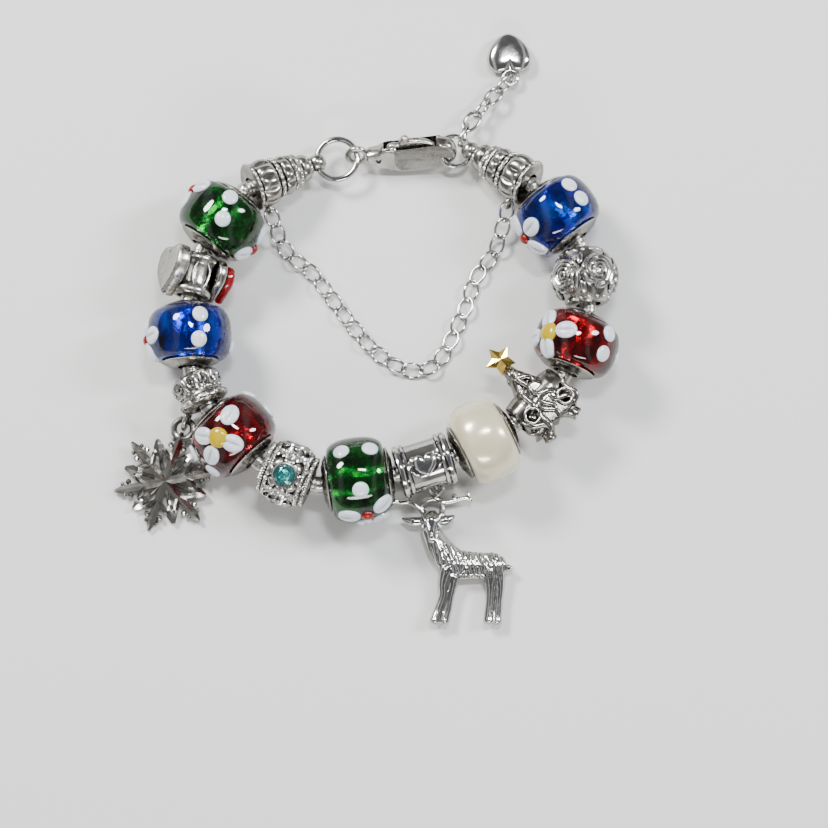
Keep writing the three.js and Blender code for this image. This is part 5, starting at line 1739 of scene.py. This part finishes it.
@dataclass(frozen=True)
class Tier:
    """A tier of boughs in shares of the tree's height and of its base width."""

    low: float
    high: float
    width: float
    waist: float


@dataclass
class TreeBead:
    """A cast fir tree on two feet, threaded through its lowest tier, with a gold star."""

    node: str = "tree_bead"
    height: float = 12.4
    base_width: float = 9.0
    thickness: float = 7.0
    below: float = 6.0
    bauble: float = 1.05
    star_radius: float = 2.5
    star_thickness: float = 1.2
    end_radius: float = 2.7
    grain: float = 0.14
    tiers: tuple[Tier, ...] = (
        Tier(0.12, 0.46, 1.0, 0.5),
        Tier(0.4, 0.72, 0.74, 0.34),
        Tier(0.66, 0.97, 0.5, 0.14),
    )
    boughs: Rows = (
        (-0.2, 0.24, 60), (0.12, 0.5, 120), (-0.02, 0.76, 66), (-0.02, 0.3, 96),
        (-0.34, 0.24, 110),
    )
    baubles: Rows = ((-0.3, 0.38), (0.33, 0.28))

    def tier_part(self, tier: Tier) -> Part:
        """Returns a tier as a rounded slab that narrows upwards, with a scalloped lower edge."""
        wide = tier.width * self.base_width / 2
        narrow = tier.waist * self.base_width / 2
        low = tier.low * self.height - self.below
        high = tier.high * self.height - self.below
        bottom = [
            (x, low + 0.4 * abs(math.sin(2.5 * math.pi * (x / wide))))
            for x in np.linspace(-wide * 0.96, wide * 0.96, 21)
        ]
        right = [(wide, low + 0.35), (wide * 0.92, low + 0.8), (narrow, high)]
        left = [(-narrow, high), (-wide * 0.92, low + 0.8), (-wide, low + 0.35)]
        depth = self.thickness * (0.62 + 0.38 * tier.width)
        return plate(np.array(bottom + right + left), depth * 0.86, 0.6, 3)

    def ridge(self, x: float, y: float, turn: float, face: int) -> Part:
        """Returns one S-shaped bough on a face of the tree."""
        way = math.radians(turn)
        middle = (x * self.base_width, y * self.height - self.below)
        path = []
        for t in np.linspace(-1, 1, 24):
            bend = 0.55 * math.sin(t * math.pi)
            path.append((middle[0] + math.cos(way) * t * 2.1 - math.sin(way) * bend,
                         middle[1] + math.sin(way) * t * 2.1 + math.cos(way) * bend,
                         face * self.thickness * (0.46 - 0.07 * y)))
        radii = 0.5 * np.sqrt(np.clip(1.06 - np.linspace(-1, 1, 24) ** 2, 0, 1))
        return sweep(np.array(path), radii, 12)

    def cast(self) -> Part:
        """Returns the tree in the bead's frame, with its top towards the inside of the loop."""
        parts = [self.tier_part(tier) for tier in self.tiers]
        relief = []
        holes = []
        for face in (-1, 1):
            front = face * self.thickness * 0.47
            for x, y, turn in self.boughs:
                relief.append(self.ridge(x, y, turn, face))
                relief.append(self.ridge(-x * 1.4, y + 0.06, 180 - turn, face))
            for x, y in self.baubles:
                place = shift(x * self.base_width, y * self.height - self.below, front)
                relief.append(moved(torus(self.bauble + 0.12, 0.3, 36, 12), place))
                holes.append(moved(ball((self.bauble * 0.96,) * 3, 32, 16), place))
        for side in (-1, 1):
            foot = np.array([(side * self.base_width * 0.2, self.height * 0.2 - self.below, 0),
                             (side * self.base_width * 0.29, 1.2 - self.below, 0),
                             (side * self.base_width * 0.32, 0.25 - self.below, 0)])
            parts.append(sweep(foot, [1.3, 1.05, 1.05], 16))
        neck = np.array([(0, 0.85 * self.height - self.below, 0),
                         (0, 0.99 * self.height - self.below + self.star_radius * 0.6, 0)])
        parts.append(sweep(neck, [1.3, 0.8], 16))
        span_half = 4.65
        collar = lathe([(-span_half, 2.5), (-span_half + 0.25, self.end_radius), (-2.8, 3.0),
                        (2.8, 3.0), (span_half - 0.25, self.end_radius), (span_half, 2.5)], 40)
        parts.append(collar)
        passage = lathe([(-9, 1.95), (9, 1.95)], 40)
        return gathered([carved(melted(parts, self.grain, 4), [passage, *holes]), *relief])

    def star(self) -> Part:
        """Returns the star, a blunt five-pointed pyramid, about its middle."""
        reach = np.where(np.arange(10) % 2, self.star_radius * 0.52, self.star_radius * 0.98)
        outline = arc(reach, np.radians(90 + 36 * np.arange(10)))[:, :2]
        half = self.star_thickness / 2
        return crown(outline, [(0.9, -half), (1.0, -half + 0.2), (1.0, 0.0), (0.94, half * 0.4),
                               (0.04, half)])

    def build(self, loop: Loop) -> list[Piece]:
        """Builds the tree and its star."""
        place = loop.spans[self.node].middle
        tree = put_out("tree_cast", Form().add(self.cast(), place), [Finish.GUNMETAL], [self.node])
        tip = 0.99 * self.height - self.below
        middle = shift(0, tip + self.star_radius * 0.85, 1.05 + 0.3 + self.star_thickness / 2)
        star = put_out("tree_star_gold", Form().add(self.star(), place @ middle), [Finish.GOLD],
                       ["tree_star"], sharp=12.0)
        return [tree, star]


# Ends, rings and clasp


@dataclass(frozen=True)
class Step:
    """A ring of the end cap: shares of its length and radius, and how many lobes it has."""

    at: float
    width: float
    radius: float
    lobes: int
    depth: float


@dataclass
class EndCap:
    """A stepped end cap with a soldered stopper ring and a pierced ball at its tip."""

    node: str
    length: float = 11.8
    stopper: float = 3.9
    ball_radius: float = 1.45
    ball_hole: float = 0.95
    ring_radius: float = 0.85
    ring_wire: float = 0.3
    bore: float = 1.65
    sink: float = 3.9
    steps: tuple[Step, ...] = (
        Step(0.035, 0.07, 0.97, 0, 0.0),
        Step(0.2, 0.27, 0.96, 9, 0.15),
        Step(0.375, 0.09, 0.8, 0, 0.0),
        Step(0.5, 0.15, 0.8, 8, 0.14),
        Step(0.64, 0.1, 0.67, 0, 0.0),
        Step(0.78, 0.14, 0.55, 0, 0.0),
    )

    def place(self, span: Span) -> Matrix:
        """Returns the cap's frame: its flange at the origin and its tip on +X."""
        if self.node == "end_cap_left":
            return frame_at(span.end, span.way) @ spin(180, "Z")
        return frame_at(span.start, span.way)

    def ring_middle(self) -> Vector:
        """Returns the middle of the stopper ring in the cap's frame."""
        turn = -1 if self.node == "end_cap_left" else 1
        out = self.stopper * 0.9 + self.ring_radius * 0.4
        return Vector((self.steps[1].at * self.length * 0.8, turn * out, -1.6))

    def ring_part(self, step: Step) -> Part:
        """Returns one ring of the stack."""
        middle = step.at * self.length
        half = step.width * self.length * 0.47
        radius = step.radius * self.stopper
        rows = []
        for k in range(13):
            angle = math.pi * k / 12
            x = middle - half * math.cos(angle)
            rows.append((x, radius * (0.76 + 0.24 * math.sin(angle) ** 0.7)))
        rows = [(rows[0][0], 0.05)] + rows + [(rows[-1][0], 0.05)]

        def shape(x: float, row_radius: float, angle: float) -> float:
            """Returns the factor that presses oval flutes between the lobes."""
            if not step.lobes:
                return 1.0
            dip = abs(math.sin(step.lobes * angle / 2)) ** 0.7
            swell = max(0.0, 1 - ((x - middle) / half) ** 2)
            return 1 - step.depth * (1 - dip) * swell

        return lathe(rows, 108, shape=shape)

    def build(self, loop: Loop, wire_way: Vector) -> Piece:
        """Builds the cap.

        Args:
            loop: The places of the beads.
            wire_way: Which way the ring's wire passes through the ball, in the frame's axes.

        Returns:
            The piece.
        """
        place = self.place(loop.spans[self.node])
        length = self.length
        flange = self.steps[0]
        stack = [self.ring_part(step) for step in self.steps]
        post = lathe([(0.1, 2.6), (length * 0.4, 2.5), (length * 0.6, 2.0), (length * 0.74, 1.5),
                      (length * 0.86, 1.05), (length * 0.95, 0.8)], 48)
        socket = lathe([(-1, self.bore), (self.sink, self.bore)], 32)
        form = Form().add((carved(part, [socket]) for part in (*stack[:2], post)), place)
        form.add(stack[2:], place)
        grains = beads_round(26, self.stopper * 0.93, 0.25, flange.at * length)
        grains += beads_round(20, self.stopper * 0.78, 0.36, self.steps[2].at * length)
        for share, radius, wire in ((0.6, 0.66, 0.16), (0.675, 0.62, 0.15), (0.86, 0.36, 0.15)):
            ring = moved(Part(circle(self.stopper * radius, 200), []),
                         shift(share * length) @ spin(90, "Y"))
            grains += rope(ring.points, wire, 22, True)
        form.add(grains, place)
        loop_ring = moved(torus(self.ring_radius, self.ring_wire, 36, 12), spin(90, "Y"))
        form.add(loop_ring, place @ Matrix.Translation(self.ring_middle()))
        way = place.to_3x3().inverted() @ wire_way
        hole = lathe([(-3, self.ball_hole), (3, self.ball_hole)], 32)
        turn = Vector((1, 0, 0)).rotation_difference(way).to_matrix().to_4x4()
        tip_ball = carved(ball((self.ball_radius,) * 3, 32, 18), [moved(hole, turn)])
        form.add(tip_ball, place @ shift(length))
        return put_out(f"{self.node}_cast", form, [Finish.AGED], [self.node])


@dataclass
class WireRing:
    """A round jump ring whose ends meet in a fine cut."""

    node: str
    radius: float
    wire: float
    cut: float
    gap: float = 0.05

    def build(self, place: RingPlace) -> Piece:
        """Builds the ring.

        Args:
            place: Where the CAD ring lies.

        Returns:
            The piece.
        """
        open_share = self.gap / (2 * math.pi * self.radius)
        angles = math.radians(self.cut) + 2 * np.pi * np.linspace(open_share, 1 - open_share, 96)
        form = Form().add(sweep(arc(self.radius, angles), self.wire, 20), place.frame)
        return put_out(f"{self.node}_wire", form, [Finish.SILVER], [self.node])


@dataclass
class Clasp:
    """The lobster clasp: its claw with the eye and pin, and the sprung lever."""

    length: float = 17.5
    width: float = 6.4
    thickness: float = 2.3
    arm: float = 1.2
    nose_low: float = 1.35
    lean: float = 30.0
    eye: float = 1.45
    eye_wire: float = 0.45
    neck: float = 0.85
    pivot_x: float = 5.6
    pivot_y: float = 1.1
    pin: float = 0.4
    lever_thickness: float = 1.1
    lever_gap: float = 0.25
    root: float = 1.15
    reach: float = 6.5
    bar: float = 0.95
    tab: float = 1.5
    seat: float = 0.3
    bevel: float = 0.56
    gap: float = 0.55
    gap_x: float = 3.4
    gap_low: float = 1.3

    @property
    def hook(self) -> float:
        """Where the hook ends, from the middle of the eye."""
        return self.length - self.eye - self.eye_wire

    @property
    def half(self) -> float:
        """Half the claw's width."""
        return self.width / 2

    def claw_outline(self) -> np.ndarray:
        """Returns the claw's outline, with X from the eye to the hook."""
        hook, half, neck = self.hook, self.half, self.neck
        start = self.pivot_x + 0.5
        nose = self.pivot_x + self.reach + self.seat
        inner = -half + self.arm
        root = self.pivot_y - self.root - self.seat - 0.1
        arm = hook - self.arm
        return bezier((self.eye + 0.1, neck), [
            (self.eye + 0.1, -neck),
            (self.pivot_x * 0.6, -half * 0.75, self.pivot_x, -half, hook * 0.5, -half),
            (hook * 0.85, -half, hook, -half * 0.6, hook, 0.0),
            (hook, half * 0.55, hook - 0.8, half * 0.86, nose, half * 0.86),
            (nose, self.nose_low),
            (arm - 0.3, self.nose_low, arm, self.nose_low * 0.4, arm, -0.1),
            (arm, -half * 0.5, hook * 0.72, inner, hook * 0.5, inner),
            (hook * 0.42, inner, start + 0.6, inner, start + 0.3, root),
            (start + 0.2, self.pivot_y + 0.7),
            (start - 0.1, half * 0.8, self.pivot_x * 0.7, half * 0.7, self.pivot_x * 0.6,
             half * 0.42),
            (self.eye + 0.1, neck),
        ], 12)

    def lever_outline(self) -> np.ndarray:
        """Returns the lever's outline."""
        half, x, y = self.half, self.pivot_x, self.pivot_y
        tip = x + self.reach
        low = half * 0.32
        corners = bezier((x, y - self.root), [
            (x + 2, y - self.root + 0.3, tip - 2, half * 0.62, tip, low),
            (tip, low + self.bar),
            (tip - 1.5, half + 0.1, x + 3.4, half, x + 2.6, half * 0.95),
            (x + 2.5, half + self.tab * 0.6, x + 1.1, half + self.tab * 0.6, x + 0.9,
             y + self.root),
            (x, y + self.root),
        ], 12)
        back = arc(self.root, np.radians(np.linspace(90, 270, 15)[1:-1]))[:, :2] + (x, y)
        return np.vstack([corners, back])

    def place(self, jump: RingPlace, left_tip: Vector, end: RingPlace, right_tip: Vector,
              radii: tuple[float, float]) -> Matrix:
        """Returns the clasp's frame, from the eye in the jump ring to the hook in the end ring.

        Args:
            jump: Place of the jump ring.
            left_tip: Tip of the left end cap.
            end: Place of the end ring.
            right_tip: Tip of the right end cap.
            radii: Radii of the jump ring and the end ring.

        Returns:
            The frame.
        """
        eye = jump.middle - (left_tip - jump.middle).normalized() * radii[0]
        far = end.middle + (end.middle - right_tip).normalized() * radii[1]
        frame_of = frame_at(eye, (eye - far).normalized())
        return frame_of @ spin(180, "Z") @ spin(90 - self.lean, "X")

    def build(self, place: Matrix) -> list[Piece]:
        """Builds the claw and the lever in the clasp's frame."""
        slot_width = self.lever_thickness + 2 * self.lever_gap
        reach = self.root + self.seat
        size = (2 * reach + 3) / 2
        block = lathe([(-size, size * math.sqrt(2)), (size, size * math.sqrt(2))], 4)
        slot = moved(block, shift(self.pivot_x + 1.5, self.pivot_y + 1.5)
                     @ stretch(1, 1, slot_width / 2 / size) @ spin(45, "X"))
        to_clasp = place.inverted().to_3x3()
        low_side = Vector((self.gap_x, 0, 0)) + to_clasp @ Vector((0, -self.gap_low, 0))
        gap = moved(lathe([(-self.width, self.gap), (self.width, self.gap)], 3),
                    frame_at(low_side, to_clasp @ Vector((0, 0, 1))))
        rounded = plate(self.claw_outline(), self.thickness, self.bevel, 8, self.thickness * 0.48)
        claw = carved(rounded, [slot, gap])
        collar = lathe([(0, 1.0), (0.1, 1.12), (0.4, 1.12), (0.5, 1.0)], 40)
        pin_half = self.thickness / 2 - 0.02
        pin = lathe([(-pin_half, self.pin + 0.08), (-pin_half + 0.18, self.pin + 0.14),
                     (-pin_half + 0.3, self.pin), (pin_half - 0.3, self.pin),
                     (pin_half - 0.18, self.pin + 0.14), (pin_half, self.pin + 0.08)], 28)
        form = Form().add(claw, place)
        form.add(torus(self.eye, self.eye_wire, 48, 16), place)
        form.add(collar, place @ shift(self.eye + 0.25))
        form.add(pin, place @ shift(self.pivot_x, self.pivot_y) @ spin(-90, "Y"))
        body = put_out("clasp_claw", form, [Finish.AGED], ["clasp_body"])
        bore = lathe([(-2, self.pin + self.seat * 0.5), (2, self.pin + self.seat * 0.5)], 28)
        pivot = shift(self.pivot_x, self.pivot_y) @ spin(-90, "Y")
        tongue = plate(self.lever_outline(), self.lever_thickness, 0.4, 6,
                       self.lever_thickness * 0.45)
        lever_part = carved(tongue, [moved(bore, pivot)])
        lever_form = Form().add(lever_part, place)
        lever = put_out("clasp_tongue", lever_form, [Finish.SATIN], ["clasp_lever"],
                        body=LEVER)
        return [body, lever]


# Chains


@dataclass
class SafetyChain:
    """A fine curb of oval links between the two stopper rings, lying on the table."""

    node: str = "safety_chain"
    wire: float = 0.22
    width: float = 2.65
    pitch: float = 2.87
    lean: float = 22.0
    tube: float = 1.0
    route: Rows = (
        (-12.6, 12.6), (-8.9, 9.6), (-5.3, 5.0), (-1.9, 0.4), (2.2, -4.0), (7.0, -6.4),
        (10.9, -5.3), (13.1, -1.6), (15.4, 3.6), (17.3, 9.0), (20.0, 12.6),
    )

    def build(self, left: Vector, right: Vector) -> Piece:
        """Builds the chain.

        Args:
            left: The middle of the left stopper ring.
            right: The middle of the right stopper ring.

        Returns:
            The piece.
        """
        low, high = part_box(self.node)
        ys = [y for _, y in self.route]
        drop_y = low[1] / MM + self.tube - (min(ys) - 0.12)
        drop_x = self.middle_shift()
        rest = self.wire + (self.width / 2 - self.wire) * math.sin(math.radians(self.lean)) + 0.02
        nodes = [tuple(left)]
        nodes += [(x + drop_x, y + drop_y, rest) for x, y in self.route]
        nodes.append(tuple(right))
        length = runs_of(smooth_path(nodes, 400))[-1]
        count = round(length / self.pitch)
        path = smooth_path(nodes, 2 * count + 1)
        path[:, 2] = np.maximum(path[:, 2], rest)
        form = Form()
        half = length / count / 2 + self.wire * 1.1
        for k in range(count):
            before, middle, after = (Vector(path[2 * k + j]) for j in range(3))
            way = (after - before).normalized()
            lean = self.lean if k % 2 else -self.lean
            link = sweep(link_path(half, self.width, self.wire), self.wire, 10, closed=True)
            form.add(link, frame_at((before + after) / 4 + middle / 2, way) @ roll(lean))
        return put_out("safety_chain_links", form, [Finish.SILVER], [self.node])

    def middle_shift(self) -> float:
        """Returns how far the frame lies along X from the route's own numbers."""
        points = node_points(self.node)
        lowest = points[points[:, 1] < points[:, 1].min() + 0.6]
        turn = min(self.route, key=lambda p: p[1])
        return float(lowest[:, 0].mean() - turn[0])


@dataclass
class Extension:
    """Five oval links from the end ring, and the puffed heart that hangs on the last one."""

    length: float = 3.7
    width: float = 2.7
    wire: float = 0.28
    direction: float = 50.0
    swing: float = 10.0
    slack: float = 0.4
    fuse: float = 0.16
    overlap: float = 0.3
    ring: float = 2.45
    ring_wire: float = 0.38
    lay: Rows = ((18, 80), (6, -5), (0, 70), (0, -20), (0, 60))
    heart_width: float = 6.9
    heart_height: float = 6.4
    heart_thickness: float = 2.4
    heart_ring: float = 1.15
    heart_wire: float = 0.3
    heart_neck: float = 0.5
    heart_bend: float = 44.0

    def heart(self) -> Part:
        """Returns the puffed heart about its middle, its tip towards +X."""
        half = self.heart_thickness / 2
        outline = puffed_outline(self.heart_width, self.heart_height)
        shares = np.linspace(0, 1, 12)
        levels = [(math.sin(math.pi / 2 * s) ** 0.62, half * math.cos(math.pi / 2 * s) ** 0.8)
                  for s in shares]
        levels[0] = (0.03, half)
        both = [(share, -height) for share, height in levels]
        both += [(share, height) for share, height in levels[-2::-1]]
        return crown(outline, both, centre=(-0.4, 0.0))

    def build(self, ring: RingPlace) -> list[Piece]:
        """Builds the links and the heart.

        Args:
            ring: The place of the end ring.

        Returns:
            The two pieces.
        """
        turn = math.radians(self.direction + self.swing)
        wire_point = ring.middle + Vector((math.cos(turn), math.sin(turn), 0)) * self.ring
        half = self.length / 2 - self.wire
        pitch = 2 * half - 2 * self.wire + self.fuse
        rest = self.heart_thickness / 2 + 0.05
        slope = (rest - wire_point.z) / (len(self.lay) * pitch)
        ways = []
        for bend, _ in self.lay:
            angle = math.radians(self.direction + bend)
            ways.append(Vector((math.cos(angle), math.sin(angle), slope)).normalized())
        start = wire_point - ways[0] * (self.ring_wire + self.slack + self.wire)
        form = Form()
        middle = start
        for way, (_, turn_by) in zip(ways, self.lay):
            middle = start + way * half
            path = link_path(half + self.overlap, self.width, self.wire)
            link = sweep(path, self.wire, 12, closed=True)
            form.add(link, frame_at(middle, way) @ spin(turn_by, "X"))
            start = start + way * pitch
        links = put_out("extension_links", form, [Finish.SILVER], ["extension_chain"])
        last = middle + ways[-1] * half
        place = Matrix.Translation(last) @ spin(self.direction + self.heart_bend, "Z")
        notch = self.heart_ring + self.heart_wire + self.heart_neck
        neck = lathe([(self.heart_ring, 0.36), (notch + 0.6, 0.44)], 20)
        drop = Form().add(self.heart(), place @ shift(notch + self.heart_height * 0.3))
        drop.add(neck, place).add(torus(self.heart_ring, self.heart_wire, 40, 14), place)
        heart = put_out("heart_drop_puffed", drop, [Finish.SILVER], ["heart_drop"])
        return [links, heart]


# Table, light and camera


@dataclass
class Studio:
    """A pale table under soft lights, and the camera at the photograph's angle."""

    aim: tuple[float, float] = (7.19, -13.93)
    elevation: float = 80.0
    distance: float = 450.0
    roll: float = 0.1
    frame_width: float = 128.28
    sensor: float = 36.0
    floor_size: float = 1.6

    def floor(self) -> Piece:
        """Lays the table."""
        half = self.floor_size / 2
        mesh = bpy.data.meshes.new("table")
        corners = [(-half, -half, 0), (half, -half, 0), (half, half, 0), (-half, half, 0)]
        mesh.from_pydata(corners, [], [(0, 1, 2, 3)])
        material, _, shader = new_material("table_finish")
        shader.inputs["Base Color"].default_value = (0.64, 0.64, 0.63, 1.0)
        shader.inputs["Roughness"].default_value = 0.6
        mesh.materials.append(material)
        table = bpy.data.objects.new("table", mesh)
        bpy.context.scene.collection.objects.link(table)
        return table

    def lamp(self, name: str, place: Point, size: tuple[float, float], power: float,
             colour: Row) -> Piece:
        """Hangs a soft oval lamp that faces the bracelet.

        Args:
            name: The lamp's name.
            place: Where it hangs, in metres.
            size: Its width and height in metres.
            power: Its power in watts.
            colour: Its colour.

        Returns:
            The lamp.
        """
        light = bpy.data.lights.new(name, "AREA")
        light.shape = "ELLIPSE"
        light.size, light.size_y = size
        light.energy = power
        light.color = colour
        lamp = bpy.data.objects.new(name, light)
        lamp.location = place
        aim = Vector((self.aim[0] * MM, self.aim[1] * MM * 0.3, 0.0))
        lamp.rotation_euler = (aim - Vector(place)).to_track_quat("-Z", "Y").to_euler()
        bpy.context.scene.collection.objects.link(lamp)
        return lamp

    def lights(self) -> None:
        """Hangs the lamps and sets the room's own light."""
        self.lamp("key", (-0.32, 0.3, 0.42), (0.2, 0.14), 5.8, (1.0, 0.99, 0.97))
        self.lamp("fill", (0.42, 0.12, 0.36), (0.1, 0.2), 3.0, (0.94, 0.97, 1.0))
        self.lamp("front", (0.05, -0.5, 0.3), (0.36, 0.08), 2.0, (1.0, 0.98, 0.95))
        self.lamp("top", (0.05, 0.16, 0.62), (0.14, 0.06), 2.4, (0.96, 0.98, 1.0))
        world = bpy.data.worlds.new("room")
        bpy.context.scene.world = world
        world.use_nodes = True
        net = Net(world.node_tree)
        place = net.put("ShaderNodeTexCoord")
        split = net.put("ShaderNodeSeparateXYZ")
        net.join(place.outputs["Generated"], split.inputs["Vector"])
        rise = net.ranged(split.outputs["Z"], 0.0, 0.9)
        room = net.mixed(rise, (0.42, 0.4, 0.37, 1.0), (0.2, 0.21, 0.23, 1.0))
        bands = net.put("ShaderNodeMath", operation="MAXIMUM")
        for k, (outer, inner) in enumerate(((-0.62, -0.44), (0.56, 0.46))):
            fade = 0.08 * math.copysign(1.0, outer)
            band = net.put("ShaderNodeMath", operation="MULTIPLY")
            net.join(net.ranged(split.outputs["X"], outer + fade, outer), band.inputs[0])
            net.join(net.ranged(split.outputs["X"], inner - fade, inner), band.inputs[1])
            net.join(band.outputs[0], bands.inputs[k])
        colour = net.mixed(bands.outputs[0], room, (1.1, 1.12, 1.16, 1.0))
        back = world.node_tree.nodes["Background"]
        net.join(colour, back.inputs["Color"])
        back.inputs["Strength"].default_value = 0.66

    def camera(self) -> Piece:
        """Places the camera."""
        tilt = math.radians(self.elevation)
        data = bpy.data.cameras.new("camera")
        data.sensor_width = self.sensor
        data.lens = self.sensor * self.distance / self.frame_width
        data.clip_start = 0.01
        camera = bpy.data.objects.new("camera", data)
        aim = Vector((self.aim[0], self.aim[1], 0.0)) * MM
        away = Vector((0, -math.cos(tilt), math.sin(tilt))) * (self.distance * MM)
        camera.location = aim + away
        turn = (-away).to_track_quat("-Z", "Y") @ Quaternion((0, 0, 1), math.radians(self.roll))
        camera.rotation_euler = turn.to_euler()
        bpy.context.scene.collection.objects.link(camera)
        bpy.context.scene.camera = camera
        return camera

    def build(self) -> None:
        """Sets up the whole studio."""
        self.floor()
        self.lights()
        self.camera()


@dataclass
class Bracelet:
    """The whole bracelet, in the order that its pieces are put out."""

    jump_radius: float = 3.2
    jump_wire: float = 0.48
    end_radius: float = 2.45
    end_wire: float = 0.38
    beads: tuple = (
        RoundBead("green_bead_one", Finish.GREEN, "green_glass", GREEN_ONE_DROPS),
        HeartBead(),
        RoundBead("blue_bead_one", Finish.BLUE, "blue_glass", BLUE_ONE_DROPS),
        OrnateBead(),
        RoundBead("red_bead_one", Finish.RUBY, "red_glass", RED_ONE_DROPS),
        CrystalRoseBead(),
        RoundBead("green_bead_two", Finish.GREEN, "green_glass", GREEN_TWO_DROPS),
        TubeBead(),
        RoundBead("pearl_bead", Finish.PEARL, "pearl"),
        TreeBead(),
        RoundBead("red_bead_two", Finish.RUBY, "red_glass", RED_TWO_DROPS),
        RoseBall(),
        RoundBead("blue_bead_two", Finish.BLUE, "blue_glass", BLUE_TWO_DROPS),
    )

    def build(self) -> None:
        """Builds every piece in order."""
        loop = Loop()
        SnakeChain().build(loop)
        for bead in self.beads:
            bead.build(loop)
        jump, end = RingPlace.read("jump_ring"), RingPlace.read("end_ring")
        left_span, right_span = loop.spans["end_cap_left"], loop.spans["end_cap_right"]
        up = Vector((0, 0, 1))
        left, right = EndCap("end_cap_left"), EndCap("end_cap_right")
        left.build(loop, up.cross(left_span.start - jump.middle).normalized())
        right.build(loop, up.cross(end.middle - right_span.end).normalized())
        WireRing("jump_ring", self.jump_radius, self.jump_wire, 200.0).build(jump)
        WireRing("end_ring", self.end_radius, self.end_wire, 100.0).build(end)
        clasp = Clasp()
        radii = (self.jump_radius, self.end_radius)
        clasp.build(clasp.place(jump, left_span.start, end, right_span.end, radii))
        rings = [cap.place(loop.spans[cap.node]) @ cap.ring_middle() for cap in (left, right)]
        SafetyChain().build(*rings)
        Extension().build(end)


def main() -> None:
    """Builds the bracelet, its table and its light."""
    logging.basicConfig(level=logging.INFO, format="%(name)s %(message)s")
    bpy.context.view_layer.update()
    for make in (recess_mask, fine_marks, aged_colour, glass_swirl, pearl_lustre):
        make()
    Bracelet().build()
    Studio().build()


if __name__ == "__main__":
    main()
